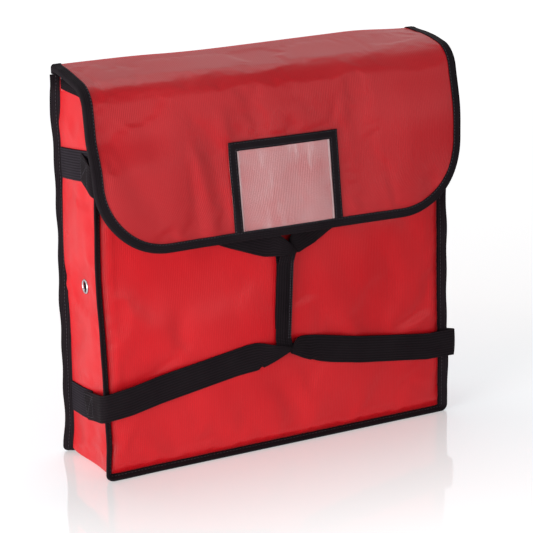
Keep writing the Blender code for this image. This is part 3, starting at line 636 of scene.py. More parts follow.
def backFaceY(x, z, reach):
    sideGap = reach - np.abs(x)
    footGap = z - bag["floorGap"]
    inside = np.clip(sideGap / 0.02, 0, 1) * np.clip(footGap / 0.02, 0, 1) * (1 - ramp(z, 0.38, 0.42))
    body = bag["backBulge"] * pillow(x, z, bag["backHalf"], bag["backTop"])
    roll = 0.0016 * edgeRoll(sideGap) * edgeRoll(footGap) * (1 - ramp(z, 0.36, 0.42))
    slow = 0.0008 * ripple(x, z, 0.170, 21) + 0.0003 * ripple(x, z, 0.05, 22)
    return bag["backY"] + body + roll + slow * inside + foldLines(x, z, bag["backFolds"])


def placeFront(u, v):
    reach, z = panelRow(v, bag["frontHalf"], bag["frontTop"])
    reach = reach + halfWidth(frontSeamY(z, bag["frontHalf"] * np.sign(u - 0.5))) - bag["frontHalf"]
    x = reach * (2 * u - 1)
    return x, frontFaceY(x, z, reach), z


def placeBack(u, v):  # the rows of the gusset, and a few more above the mouth
    row = np.rint(v * (bag["rows"] + bag["topRows"]))
    reach, z = panelRow(np.minimum(row / bag["rows"], 1), bag["backHalf"], bag["sideTop"])
    z = z + np.clip(row - bag["rows"], 0, None) / bag["topRows"] * (bag["backTop"] - bag["sideTop"])
    x = reach * (2 * u - 1)
    return x, backFaceY(x, z, reach), z


vent = {"height": 0.2040, "y": 0.011578, "x": 0.2095, "hole": 0.0069, "wall": 0.0003, "calm": 0.016,
        "tilt": -0.12,
        "ring": [(6.1, -5.6), (6.1, 0.4), (6.4, 1.0), (6.9, 1.3), (7.5, 1.2), (8.0, 0.7), (8.2, 0.1)]}


def sideFaceOut(y, z, side):  # how far the side panel swells, left flat round its eyelet
    depthShare = np.clip((y - frontSeamY(z, side * bag["frontHalf"])) / bag["depth"], 0, 1)
    swell = bag["sideBulge"] * 4 * depthShare * (1 - depthShare)
    swell = swell * ramp(z, 0.0, 0.05) * (1 - ramp(z, 0.36, 0.42))
    seed = 31 if side < 0 else 41
    slow = 0.0009 * ripple(z, y * 0.5, 0.16, seed) + 0.0004 * ripple(y, z * 0.25, 0.028, seed + 1)
    creases = foldLines(y, z, bag["sideFolds"])
    edge = np.clip(depthShare * 8, 0, 1) * np.clip((1 - depthShare) * 8, 0, 1)
    away = np.hypot(y - vent["y"], z - vent["height"])
    calm = ramp(away, vent["calm"] * 0.7, vent["calm"] * 2.4)
    tilt = vent["tilt"] * (y - vent["y"]) * (1 - ramp(away, 0.010, 0.030))
    return (swell + (slow + creases) * edge) * calm * ramp(z, 0.004, 0.022) + tilt


def mouthHeight(depthShare):  # the side's top edge climbs quickly behind the front's
    return np.interp(depthShare, bag["mouthShares"], bag["mouthHeights"])


def placeGusset(side):
    def place(u, v):  # u from the front seam to the back seam, v from the bottom's edge to the mouth
        share = bag["bendRows"] / bag["rows"]
        turn = np.clip(v / share, 0, 1) * math.pi / 2
        climb = np.clip((v - share) / (1 - share), 0, 1)
        low = bag["floorGap"] + bag["bend"] * (1 - np.cos(turn))
        height = low + (bag["frontTop"] - bag["floorGap"] - bag["bend"]) * climb
        y = mix(frontSeamY(height, side * bag["frontHalf"]), bag["backY"], u)
        z = low + (mouthHeight(u) - bag["floorGap"] - bag["bend"]) * climb
        z = z - bag["floorSag"] * np.sin(math.pi * u) ** 0.6 * (1 - ramp(z, 0.005, 0.030))
        x = halfWidth(y) - bag["bend"] * (1 - np.sin(turn)) + sideFaceOut(y, z, side)
        return side * x, y, z
    return place


def placeBottom(u, v):
    x = (2 * u - 1) * (bag["frontHalf"] - bag["bend"])
    y = mix(frontSeamY(bag["floorGap"], x), bag["backY"], v)
    wide = halfWidth(y) - bag["bend"]
    sag = bag["floorSag"] * np.sin(math.pi * v) ** 0.6
    return x * wide / (bag["frontHalf"] - bag["bend"]), y, bag["floorGap"] - sag


def buildShell(name):  # front, both sides, bottom and back as one shell, open at the mouth
    high, frontWide, backWide = bag["frontTop"], 2 * bag["frontHalf"], 2 * bag["backHalf"]
    columns, sideColumns, rows = bag["columns"], bag["sideColumns"], bag["rows"]
    backRows = rows + bag["topRows"]
    panels = [
        clothGrid("front", columns, rows, placeFront, (frontWide, high), (0, -1, 0)),
        clothGrid("back", columns, backRows, placeBack, (backWide, bag["backTop"]), (0, 1, 0)),
        clothGrid("bottom", columns, sideColumns, placeBottom, (frontWide, bag["depth"]), (0, 0, -1)),
    ]
    for side in (-1, 1):
        flat = (bag["depth"], high)
        panels.append(clothGrid("gusset", sideColumns, rows, placeGusset(side), flat, (side, 0, 0)))
    return weldPoints(joinPieces(name, panels), bag["seamWeld"])


def cutVents(piece):  # the eyelets' holes, right through the wall
    for side in (-1, 1):
        bpy.ops.object.select_all(action="DESELECT")
        bpy.ops.mesh.primitive_cylinder_add(vertices=32, radius=vent["hole"], depth=0.03,
                                            location=(side * vent["x"], vent["y"], vent["height"]),
                                            rotation=(0, math.pi / 2, 0))
        drill = bpy.context.object
        cut = piece.modifiers.new("vent", "BOOLEAN")
        cut.operation = "DIFFERENCE"
        cut.solver = "EXACT"
        cut.object = drill
        applyModifiers(piece)
        bpy.data.objects.remove(drill)


patch = {"length": 0.0560, "width": 0.0180, "thick": 0.0016, "middleX": 0.1200, "above": 0.0720,
         "loopZ": 0.3207}
wrinkles = {"growth": 0.010, "mass": 0.2, "stiffness": 20.0, "bending": 0.2, "frames": 12, "cap": 0.0014}
heldAt = {"mouth": 0.385, "floor": 0.009, "seam": 0.0035, "beside": 0.204, "ventReach": 0.018,
          "tabFrom": -0.030,
          "tabs": ((0.3385, 0.024), (0.0695, 0.022)), "patchHalf": 0.034, "patchTall": 0.014,
          "pocketHalf": 0.071, "pocketTop": 0.360, "flapFoot": 0.262}


def heldOnShell(points):  # seams, mouth, floor, vents, tab roots and the loop patches stay where they are
    x, y, z = points[:, 0], points[:, 1], points[:, 2]
    wide = np.abs(x)
    seam = np.where(x < 0, frontSeamY(z, -bag["frontHalf"]), frontSeamY(z, bag["frontHalf"]))
    still = (z > heldAt["mouth"]) | (z < heldAt["floor"])
    still |= np.hypot(wide - halfWidth(seam), y - seam) < heldAt["seam"]
    still |= np.hypot(wide - bag["backHalf"], y - bag["backY"]) < heldAt["seam"]
    beside = wide > heldAt["beside"]
    still |= beside & (np.hypot(y - vent["y"], z - vent["height"]) < heldAt["ventReach"])
    for middle, reach in heldAt["tabs"]:
        still |= beside & (y > heldAt["tabFrom"]) & (np.abs(z - middle) < reach)
    onPatch = (y < 0) & (np.abs(wide - patch["middleX"]) < heldAt["patchHalf"])
    return still | (onPatch & (np.abs(z - patch["loopZ"]) < heldAt["patchTall"]))


shell = buildShell("bag_shell")
crumple(shell, heldOnShell(readPoints(shell)), wrinkles)
inner = shell.copy()
inner.data = shell.data.copy()
scene.collection.objects.link(inner)
thicken(shell, bag["skin"])
cutVents(shell)
smoothShade(shell, 60)
dress(shell, redFabric)
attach(shell, "bag")
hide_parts("front_panel_skin", "back_panel_skin", "bottom_panel_skin", "side_panel_skin_left",
            "side_panel_skin_right", "front_panel_foam", "back_panel_foam", "bottom_panel_foam",
            "side_panel_foam_left", "side_panel_foam_right")

inner.name = inner.data.name = "bag_lining"
editAll(inner, bpy.ops.transform.shrink_fatten, value=-(bag["wall"] - bag["lining"]))
thicken(inner, bag["lining"])
cutVents(inner)
smoothShade(inner, 60)
dress(inner, silverLining)
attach(inner, "bag")
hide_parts("front_panel_lining", "back_panel_lining", "bottom_panel_lining",
            "side_panel_lining_left", "side_panel_lining_right")
print("bag shell ready")


flap = {
    "half": 0.2209, "backHeight": 0.4389, "flat": 0.0609, "fold": 0.0270, "slope": math.radians(8.8),
    "lean": math.radians(8.5), "frontRun": 0.16072, "corner": 0.0800, "wall": 0.0051, "edgeInset": 0.0011,
    "foldShift": 0.0080, "leftKick": 0.0080, "rightKick": 0.0050, "stripRun": 0.0080, "stripRadius": 0.0040,
    "columns": 120, "rows": 110, "tapeWidth": 0.0105, "tape": 0.0008, "cornerShare": 0.62,
    "folds": [
        ((-0.070, 0.105), (-0.060, 0.160), 0.0100, 0.0016),
        ((-0.103, 0.135), (-0.086, 0.262), 0.0100, 0.0022),
        ((-0.084, 0.120), (-0.070, 0.250), 0.0110, -0.0014),
        ((-0.069, 0.180), (-0.052, 0.262), 0.0060, 0.0014),
        ((-0.205, 0.110), (-0.150, 0.230), 0.0160, -0.0018),
        ((0.010, 0.090), (0.050, 0.132), 0.0090, -0.0009),
        ((0.076, 0.110), (0.090, 0.200), 0.0080, 0.0007),
        ((0.120, 0.205), (0.130, 0.250), 0.0050, 0.0007),
    ],
}
flap["turn"] = math.pi / 2 - flap["slope"] - flap["lean"]
flap["bend"] = flap["fold"] * flap["turn"]
flap["end"] = flap["flat"] + flap["bend"] + flap["frontRun"]


def flapProfile(x, run):  # the sheet's outer face: y, z and heading, its fold further forward at the right
    shift = flap["foldShift"] * x / flap["half"] * ramp(run, 0.0, flap["flat"])
    flat = flap["flat"] + flap["foldShift"] * x / flap["half"]
    run = run + shift
    heading = flap["slope"] + np.clip((run - flat) / flap["fold"], 0, flap["turn"])
    first = np.minimum(run, flat)
    y = bag["backY"] - np.cos(flap["slope"]) * first
    z = flap["backHeight"] - np.sin(flap["slope"]) * first
    y = y + flap["fold"] * (np.sin(flap["slope"]) - np.sin(heading))
    z = z - flap["fold"] * (np.cos(flap["slope"]) - np.cos(heading))
    rest = np.clip(run - flat - flap["bend"], 0, None)
    return y - np.cos(heading) * rest, z - np.sin(heading) * rest, heading


def flapSwell(x, run):  # how far the sheet stands out of its plain profile: kicked corners and soft folds
    _, z, _ = flapProfile(x, run)
    left = ramp(-x, 0.060, 0.215)
    right = ramp(x, 0.060, 0.215)
    swell = flap["leftKick"] * left * (1 - ramp(z, 0.335, 0.380))
    swell = swell + flap["rightKick"] * right * np.exp(-((z - 0.360) / 0.035) ** 2)
    front = ramp(run, 0.090, 0.120)
    slow = 0.0010 * ripple(x, run * 0.6, 0.14, 51) + 0.0003 * ripple(x, run * 0.3, 0.035, 52)
    top = 0.0007 * ripple(x, run, 0.16, 53) * (1 - front) * ramp(run, 0.006, 0.03)
    return swell + (foldLines(x, run, flap["folds"]) + slow) * front + top


def flapPlace(x, run, depth=0.0):
    y, z, heading = flapProfile(x, run)
    lift = flapSwell(x, run) - depth
    return x, y - np.sin(heading) * lift, z + np.cos(heading) * lift


def placeFlapSheet(depth):
    corner = flap["end"] - flap["edgeInset"] - flap["corner"]

    def place(u, v):  # rows bunch towards the lower edge, so that the corners come out round
        share = flap["cornerShare"]
        turn = np.clip((v - share) / (1 - share), 0, 1) * math.pi / 2
        run = mix(flap["stripRun"], corner, np.clip(v / share, 0, 1)) + flap["corner"] * np.sin(turn)
        reach = flap["half"] - flap["corner"] + flap["corner"] * np.cos(turn)
        return flapPlace(reach * (2 * u - 1), run, depth)
    return place


def blendFlap(piece):
    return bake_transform(piece)


flatFlap = (2 * flap["half"], flap["end"] - flap["stripRun"])
flapCover = clothGrid("flap_cover", flap["columns"], flap["rows"], placeFlapSheet(0.0), flatFlap, (0, -1, 0.5))
flapWrinkles = dict(wrinkles, cap=0.0006)
pocket = {"half": 0.0656, "middle": 0.0022, "height": 0.1080, "tape": 0.0100, "film": 0.0005, "wave": 0.0008,
          "overlap": 0.0006, "filmInset": 0.0004}


def heldOnFlap(points):  # the taped edge and the pocket stay where they are
    index = np.arange(len(points))
    u, v = (index % (flap["columns"] + 1)) / flap["columns"], (index // (flap["columns"] + 1)) / flap["rows"]
    x, z = points[:, 0], points[:, 2]
    reach = np.abs(np.where(np.abs(2 * u - 1) > 0.02, x / np.where(u == 0.5, 1, 2 * u - 1), flap["half"]))
    still = (reach - np.abs(x) < flap["tapeWidth"]) | (v < 0.04) | (z < heldAt["flapFoot"])
    onPocket = (np.abs(x - pocket["middle"]) < heldAt["pocketHalf"]) & (z < heldAt["pocketTop"])
    return still | (onPocket & (points[:, 1] < 0))


crumple(flapCover, heldOnFlap(readPoints(flapCover)), flapWrinkles)
placeInside = placeFlapSheet(flap["wall"] - bag["lining"])
flapInside = clothGrid("flap_lining", 60, 70, placeInside, flatFlap, (0, -1, 0.5))
for piece, thickness, material, slot in ((flapCover, bag["skin"], flapShadedFabric, "coated_fabric"),
                                         (flapInside, bag["lining"], silverLining, "lining")):
    thicken(piece, thickness)
    smoothShade(piece, 60)
    dress(piece, material)
    blendFlap(piece)
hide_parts("flap_top_skin", "flap_front_skin", "flap_top_foam", "flap_front_foam")
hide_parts("flap_top_lining", "flap_front_lining")


def foldSpot(x, share, depth):  # up the back panel, round the back fold and on to the flap's top
    radius, turn = flap["stripRadius"], math.pi / 2 + flap["slope"]
    tangent = radius * math.tan(turn / 2)
    wallLength = flap["backHeight"] - tangent - bag["backTop"]
    lengths = [wallLength, radius * turn, flap["stripRun"] - tangent]
    run = share * sum(lengths)
    angle = np.clip((run - lengths[0]) / radius, 0, turn)
    y = bag["backY"] - radius + (radius - depth) * np.cos(angle)
    z = bag["backTop"] + np.minimum(run, wallLength) + (radius - depth) * np.sin(angle)
    rest = np.clip(run - lengths[0] - lengths[1], 0, None)
    return x, y - np.cos(flap["slope"]) * rest, z - np.sin(flap["slope"]) * rest


def blendFold(piece):
    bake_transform(piece)


def placeFoldStrip(depth, inset):
    return lambda u, v: foldSpot((flap["half"] - inset) * (2 * u - 1), v, depth)


for name, depth, thickness, material, slot in (
        ("back_fold", 0.0, bag["wall"] - bag["lining"], redFabric, "coated_fabric"),
        ("back_fold_lining", bag["wall"] - bag["lining"], bag["lining"], silverLining, "lining")):
    strip = clothGrid(name, 40, 22, placeFoldStrip(depth, 0.0036), (2 * flap["half"], 0.02), (0, 1, 1))
    thicken(strip, thickness)
    smoothShade(strip, 50)
    dress(strip, material)
    blendFold(strip)
print("flap ready")


def edgeProfile(reach, wall, lift, radius, steps=4):  # tape over an edge: inward and depth, outer leg first
    points = [(mix(reach, radius - lift, share), -lift) for share in (0.0, 0.35, 0.7, 1.0)]
    for centre, first in (((radius - lift, radius - lift), 0), ((radius - lift, wall + lift - radius), 1)):
        for step in range(steps + 1):
            turn = math.pi / 2 * (step / steps + first)
            points.append((centre[0] - radius * math.sin(turn), centre[1] - radius * math.cos(turn)))
    points += [(mix(radius - lift, reach, share), wall + lift) for share in (0.3, 0.65, 1.0)]
    return points


def sweepProfile(name, stations, profile, place, flatSize, outward):
    # a grid whose columns follow the profile and whose rows follow the stations
    columns, rows = len(profile) - 1, len(stations) - 1
    profile, stations = np.array(profile), np.array(stations)

    def lay(u, v):
        column = np.rint(u * columns).astype(int)
        row = np.rint(v * rows).astype(int)
        return place(stations[row], profile[column])
    return clothGrid(name, columns, rows, lay, flatSize, outward)


def flapOutline():  # x, run and outward direction all round the flap's free edge
    edge = flap["end"] - flap["edgeInset"]
    cornerX, cornerRun = flap["half"] - flap["corner"], edge - flap["corner"]
    path = [(-flap["half"], run, -1, 0) for run in np.linspace(0.0044, cornerRun, 60)[:-1]]
    for turn in np.linspace(0, math.pi / 2, 26):
        path.append((-cornerX - flap["corner"] * math.cos(turn), cornerRun + flap["corner"] * math.sin(turn),
                     -math.cos(turn), math.sin(turn)))
    path += [(x, edge, 0, 1) for x in np.linspace(-cornerX, 0, 24)[1:-1]]
    return path + [(0, edge, 0, 1)] + [(-x, run, -awayX, awayRun) for x, run, awayX, awayRun in reversed(path)]


def placeFlapTape(station, spot):
    x = station[:, 0] - station[:, 2] * spot[:, 0]
    run = station[:, 1] - station[:, 3] * spot[:, 0]
    return flapPlace(x, run, spot[:, 1])


tapeLift = pieceGap + flap["tape"] / 2
outline = flapOutline()
tapeProfile = edgeProfile(flap["tapeWidth"] - 0.0011, flap["wall"], tapeLift, 0.0024)
flapTape = sweepProfile("flap_tape", outline, tapeProfile, placeFlapTape, (0.026, 0.85), (0, -1, 0.5))
thicken(flapTape, flap["tape"], 0.0)
smoothShade(flapTape, 50)
dress(flapTape, blackTape)
blendFlap(flapTape)
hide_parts("flap_top_binding_left", "flap_top_binding_right", "flap_front_binding")
for side, hand in ((-1, "left"), (1, "right")):
    def placeFoldTape(station, spot, side=side):
        return foldSpot(side * (flap["half"] - 0.0012 - spot[:, 0]), station[:, 0], spot[:, 1])
    stations = [(share, 0) for share in np.linspace(0.02, 0.86, 18)]
    foldTape = sweepProfile("back_fold_tape_" + hand, stations, tapeProfile, placeFoldTape, (0.026, 0.013),
                            (0, 1, 1))
    thicken(foldTape, flap["tape"], 0.0)
    smoothShade(foldTape, 50)
    dress(foldTape, blackTape)
    blendFold(foldTape)
print("flap tape ready")


stitch = {"pitch": 0.0036, "length": 0.0026, "radius": 0.00032}


def sewRow(name, points, ups, pitch=None, slant=0.0):
    # one small stitch, copied at even steps along a line on the cloth
    pitch = pitch or stitch["pitch"]
    points, ups = settle(np.array(points, float)), np.array(ups, float)
    steps = np.linalg.norm(np.diff(points, axis=0), axis=1)
    travelled = np.concatenate([[0], np.cumsum(steps)])
    count = int(travelled[-1] / pitch)
    bpy.ops.object.select_all(action="DESELECT")
    bpy.ops.mesh.primitive_uv_sphere_add(segments=6, ring_count=4, radius=1.0)
    base = bpy.context.object
    base.data.transform(Matrix.Diagonal((stitch["radius"], stitch["radius"] * 0.8, stitch["length"] / 2, 1)))
    copies = []
    for index in range(count):
        at = (index + 0.5) * travelled[-1] / count
        here = Vector([np.interp(at, travelled, points[:, axis]) for axis in range(3)])
        ahead = Vector([np.interp(at + pitch / 4, travelled, points[:, axis]) for axis in range(3)])
        behind = Vector([np.interp(at - pitch / 4, travelled, points[:, axis]) for axis in range(3)])
        up = Vector([np.interp(at, travelled, ups[:, axis]) for axis in range(3)]).normalized()
        along = (ahead - behind).normalized()
        side = along.cross(up).normalized()
        up = side.cross(along)
        turn = Matrix((side, up, along)).transposed().to_4x4() @ Matrix.Rotation(slant, 4, "Y")
        one = base.copy()
        one.data = base.data.copy()
        one.data.transform(Matrix.Translation(here) @ turn)
        scene.collection.objects.link(one)
        copies.append(one)
    bpy.data.objects.remove(base)
    row = joinPieces(name, copies)
    smoothShade(row, 80)
    dress(row, sewThread)
    return row


def rowOnFlap(name, stations, inward, depth):
    path = np.array(stations)
    x = path[:, 0] - path[:, 2] * inward
    run = path[:, 1] - path[:, 3] * inward
    low = np.stack(flapPlace(x, run, depth), -1)
    high = np.stack(flapPlace(x, run, depth - 0.001), -1)
    return sewRow(name, low, high - low)


flapStitches = rowOnFlap("flap_stitches", outline, 0.0082, -2 * tapeLift)
blendFlap(flapStitches)

pocket["top"] = flap["end"] - pocket["height"]
pocket["low"] = flap["end"] - flap["tapeWidth"] + pocket["overlap"]


def placeWindow(u, v):
    x = pocket["middle"] + (pocket["half"] - pocket["filmInset"]) * (2 * u - 1)
    run = mix(pocket["low"], pocket["top"] + pocket["filmInset"], v)
    rim = np.clip(4 * u * (1 - u) * 2, 0, 1) * np.clip(4 * v * (1 - v) * 2, 0, 1)
    lift = pocket["wave"] * rim * (1 + 0.6 * ripple(x, run, 0.05, 61))
    return flapPlace(x, run, -pieceGap - pocket["film"] - lift)


window = clothGrid("pocket_film", 40, 36, placeWindow, (2 * pocket["half"], 0.104), (0, -1, 0))
thicken(window, pocket["film"])
smoothShade(window, 50)
dress(window, clearFilm)
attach(window, "flap_front")
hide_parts("pocket_window")


def pocketLeg(name, first, last):  # one mitred length of pocket tape: its outer and inner line in x and run
    def place(u, v):
        outer = [mix(a, b, v) for a, b in zip(first[0], last[0])]
        innerLine = [mix(a, b, v) for a, b in zip(first[1], last[1])]
        x = pocket["middle"] + mix(outer[0], innerLine[0], u)
        run = mix(outer[1], innerLine[1], u)
        puff = 0.0005 * np.sin(np.clip(u, 0, 1) * math.pi) ** 0.5
        return flapPlace(x, run, -0.0011 - flap["tape"] - puff)
    length = math.hypot(last[0][0] - first[0][0], last[0][1] - first[0][1])
    return clothGrid(name, 8, 40, place, (pocket["tape"], length), (0, -1, 0))


half, inHalf = pocket["half"], pocket["half"] - pocket["tape"]
top, inTop, low = pocket["top"], pocket["top"] + pocket["tape"], pocket["low"]
legs = [pocketLeg("leg", ((-half, low), (-inHalf, low)), ((-half, top), (-inHalf, inTop))),
        pocketLeg("leg", ((-half, top), (-inHalf, inTop)), ((half, top), (inHalf, inTop))),
        pocketLeg("leg", ((half, top), (inHalf, inTop)), ((half, low), (inHalf, low)))]
for leg in legs:
    thicken(leg, flap["tape"])
pocketTape = joinPieces("pocket_tape", legs)
smoothShade(pocketTape, 40)
dress(pocketTape, blackTape)
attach(pocketTape, "flap_front")
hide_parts("pocket_binding")
for label, inset in (("outer", 0.0016), ("inner", 0.0080)):
    w, t = half - inset, top + inset
    corners = [(-w, low), (-w, t), (w, t), (w, low)]
    line = []
    for first, last in zip(corners, corners[1:]):
        line += [(pocket["middle"] + mix(first[0], last[0], share), mix(first[1], last[1], share), 0, 0)
                 for share in np.linspace(0, 1, 20)]
    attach(rowOnFlap("pocket_stitches_" + label, line, 0.0, -0.0022), "flap_front")
print("pocket ready")


fin = {
    "width": 0.0120, "thick": 0.0026, "footReach": 0.0105, "footLength": 0.0060, "wave": 0.0006, "tape": 0.0008,
    "front": {"away": -1, "turnStart": 0.338, "turnHeight": 0.040, "flatReach": 0.0120, "seed": 71},
    "back": {"away": 1, "turnStart": 0.405, "turnHeight": 0.016, "flatReach": 0.0106, "seed": 72},
}


def finStations(top):
    path = [(z, None) for z in np.linspace(top, bag["floorGap"] + bag["bend"], 70)]
    return path + [(None, turn) for turn in np.linspace(0, math.pi / 2, 9)[1:]]


def finFrames(top, width, seam, values):
    # root, knee and tip of the taped seam at every station, down one side and under to the middle
    sides, away = [], values["away"]
    reach45 = fin["width"] * math.sin(math.pi / 4)
    drop = bag["floorGap"] - fin["thick"] / 2
    for side in (-1, 1):
        half = []
        for height, turn in finStations(top):
            turn = turn or 0.0
            lowShare = math.sin(turn) ** 2
            z = height if height is not None else bag["floorGap"] + bag["bend"] * (1 - math.sin(turn))
            x = width - bag["bend"] + bag["bend"] * math.cos(turn)
            flat = float(ramp(z, values["turnStart"], values["turnStart"] + values["turnHeight"]))
            out = mix(mix(reach45, values["flatReach"], flat), drop, lowShare)
            forth = mix(mix(reach45, 0.0, flat), fin["footReach"], lowShare)
            normal = Vector((side * math.cos(turn), 0, -math.sin(turn)))
            wave = fin["wave"] * float(ripple(z, side * 0.1, 0.05, values["seed"])) * (1 - lowShare)
            root = Vector((side * (x - 0.0004), float(seam(z, side * x)), z))
            kneeForth = mix(forth / 2, fin["footReach"] - fin["footLength"], lowShare)
            knee = root + normal * mix(out / 2, drop, lowShare) + Vector((0, away * kneeForth, 0))
            tip = root + normal * (out + wave) + Vector((0, away * (forth + wave), 0))
            half.append((root, knee, tip))
        sides.append(half)
    under = []
    root, knee, tip = sides[1][-1]
    for share in np.linspace(-1, 1, 44)[1:-1]:
        under.append(tuple(
            Vector((share * point.x, float(seam(point.z, share * point.x)) + point.y - root.y, point.z))
            for point in (root, knee, tip)))
    return sides[0] + under + sides[1][::-1]


seamPaths = {}


def finPiece(name, frames):  # tape out along one face of the seam, round its edge and back along the other
    halfThick = fin["thick"] / 2
    roots, knees, tips = (np.array([[*frame[index]] for frame in frames]) for index in range(3))
    path = np.gradient(tips, axis=0)
    spread = tips - roots
    sideways = np.cross(path, spread)
    sideways /= np.linalg.norm(sideways, axis=1)[:, None]
    reach = spread / np.linalg.norm(spread, axis=1)[:, None]
    profile = [(share, -1.0, 0.0) for share in (0.0, 0.3, 0.6, 0.85)]
    profile += [(1.0, -math.cos(turn), math.sin(turn)) for turn in np.linspace(0, math.pi, 7)]
    profile += [(share, 1.0, 0.0) for share in (0.85, 0.6, 0.3, 0.0)]
    columns, count = len(profile) - 1, len(frames) - 1
    profile = np.array(profile)

    def lay(u, v):
        spot = profile[np.rint(u * columns).astype(int)]
        row = np.rint(v * count).astype(int)
        share = spot[:, 0][:, None]
        inner, outer = mix(roots[row], knees[row], share * 2), mix(knees[row], tips[row], share * 2 - 1)
        bow = np.where(share < 0.5, inner, outer)
        end = tips[row] - reach[row] * halfThick
        bow = np.where(share >= 1.0, end, bow)
        placed = bow + sideways[row] * halfThick * spot[:, 1][:, None]
        placed = placed + reach[row] * halfThick * spot[:, 2][:, None]
        return placed[:, 0], placed[:, 1], placed[:, 2]
    piece = clothGrid(name, columns, count, lay, (0.027, 1.2))
    seamPaths[name] = [(mix(roots, tips, 0.42) + sideways * face * (halfThick + 0.0002), sideways * face)
                       for face in (-1, 1)]
    editAll(piece, bpy.ops.mesh.normals_make_consistent, inside=False)
    thicken(piece, fin["tape"])
    smoothShade(piece, 50)
    dress(piece, blackTape)
    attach(piece, "bag")
    return piece


def backSeamY(z, x):
    return bag["backY"] + 0 * z


frontFin = finPiece("front_seam_tape", finFrames(bag["frontTop"], bag["frontHalf"], frontSeamY, fin["front"]))
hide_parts("front_seam_binding")
backFin = finPiece("back_seam_tape", finFrames(bag["backSeamTop"], bag["backHalf"], backSeamY, fin["back"]))
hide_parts("back_seam_binding")
for name, paths in list(seamPaths.items()):
    for number, (line, ups) in enumerate(paths):
        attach(sewRow("%s_stitches_%d" % (name, number + 1), line, ups, pitch=0.0040), "bag")
print("seam tapes ready")


mouth = {"leg": 0.0094, "roll": 0.0022, "frontHalf": 0.2064, "sideFrom": -0.0165, "sideTo": 0.0440,
         "climbFrom": -0.0170, "climbRun": 0.0655, "lift": 0.0022, "wallTop": 0.41}


def mouthTape(name, stations, place, outward, node):
    profile = edgeProfile(mouth["leg"], bag["wall"], tapeLift, mouth["roll"])
    piece = sweepProfile(name, stations, profile, place, (0.026, 0.4), outward)
    thicken(piece, flap["tape"], 0.0)
    smoothShade(piece, 50)
    dress(piece, blackTape)
    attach(piece, "bag")
    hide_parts(node)


def placeFrontMouth(station, spot):
    x = station[:, 0]
    z = bag["frontTop"] - spot[:, 0]
    reach = bag["frontHalf"] + 0 * x
    return x, frontFaceY(x, np.minimum(z, bag["frontTop"]), reach) + spot[:, 1], z


frontStations = [(x, 0) for x in np.linspace(-mouth["frontHalf"], mouth["frontHalf"], 60)]
mouthTape("front_mouth_tape", frontStations, placeFrontMouth, (0, 0, 1), "front_mouth_binding")
for side, word in ((-1, "left"), (1, "right")):
    def placeSideMouth(station, spot, side=side):
        y = station[:, 0]
        share = np.clip((y - mouth["climbFrom"]) / mouth["climbRun"], 0, 1)
        z = mouthHeight(share) + mouth["lift"] - spot[:, 0]
        out = halfWidth(y) + sideFaceOut(y, np.minimum(z, mouth["wallTop"]), side)
        return side * (out - spot[:, 1]), y, z
    sideStations = [(y, 0) for y in np.linspace(mouth["sideFrom"], mouth["sideTo"], 30)]
    mouthTape("side_mouth_tape_" + word, sideStations, placeSideMouth, (0, 0, 1), "side_mouth_binding_" + word)
print("mouth tapes ready")


strap = {
    "width": 0.0305, "thick": 0.0016, "wrapRadius": 0.0054, "wrapReach": 0.0025, "gripY": -0.04686,
    "columns": 20, "foldShare": 0.2, "foldGap": 0.0022, "loopX": 0.014, "crown": 0.0006, "core": 0.0034,
    "upper": {"anchorY": 0.0060, "anchorZ": 0.3400, "cornerZ": 0.3310, "centreZ": 0.2240, "slant": -0.10,
              "tabBack": 0.3345, "tabFront": 0.3440, "tabEnd": -0.0230, "standOff": 0.0},
    "lower": {"anchorY": 0.0140, "anchorZ": 0.0685, "cornerZ": 0.0815, "centreZ": 0.1170, "slant": 0.33,
              "tabBack": 0.0685, "tabFront": 0.0715, "tabEnd": 0.0, "standOff": 0.0060},
}

# across the front: x, lower edge, upper edge, and how far it lies forward of the loop's middle, in millimetres
strapFront = {
    ("upper", "left"): [
        (-185, 300, 333, 1), (-150, 283, 316, 1), (-100, 258, 291, 1), (-73.7, 242.5, 275.5, 1),
        (-48.8, 232.9, 266, 1), (-36, 228, 261.5, 1), (-24.2, 224, 257, 2), (-15, 224, 252.5, 5),
        (-8, 224.2, 247, 8.6), (-2, 224.6, 241.6, 9.2), (2.1, 224.7, 238.1, 9.4), (6.6, 224.7, 232.9, 9.2),
        (10, 224.5, 228.6, 8), (12.6, 224.3, 226, 6),
    ],
    ("upper", "right"): [
        (185, 301, 334, 1), (150, 284, 317, 1), (100, 261, 294, 1), (68.3, 245, 278, 1),
        (52.7, 237, 270, 1), (38.7, 230, 263.5, 1), (26, 225.6, 260, 1.5), (20, 223.5, 258, 2.5),
        (15.2, 223, 255.5, 4), (12.8, 226.5, 252, 5), (9.6, 231.6, 248, 5), (6.4, 234, 242, 4),
    ],
    ("lower", "left"): [
        (-185, 69.5, 101.5, 1), (-150, 77, 109, 1), (-93.4, 86.5, 118, 1), (-60, 92, 123.6, 1),
        (-45, 93.6, 126, 1), (-34.6, 94.6, 126.8, 2), (-27, 98, 125.4, 3.5), (-19.4, 101.8, 123.2, 6),
        (-12.3, 106, 122, 8.4), (-5, 109.6, 120.2, 9.2), (0.3, 112, 118.8, 9.4), (5.4, 114, 117.2, 8.6),
    ],
    ("lower", "right"): [
        (185, 67.5, 98.5, 1), (150, 72.5, 103.5, 1), (96.5, 79.9, 111.2, 1), (57.3, 87.7, 119.4, 1),
        (45, 91, 122, 1), (37.9, 93.7, 123.6, 1.5), (30, 96.9, 125, 2.5), (23.8, 99.8, 125.9, 3.5),
        (17.6, 103, 126.4, 5), (12.4, 106.1, 125.8, 7), (8.6, 108.4, 121.5, 8), (4.2, 110.5, 114.5, 8.6),
    ],
}


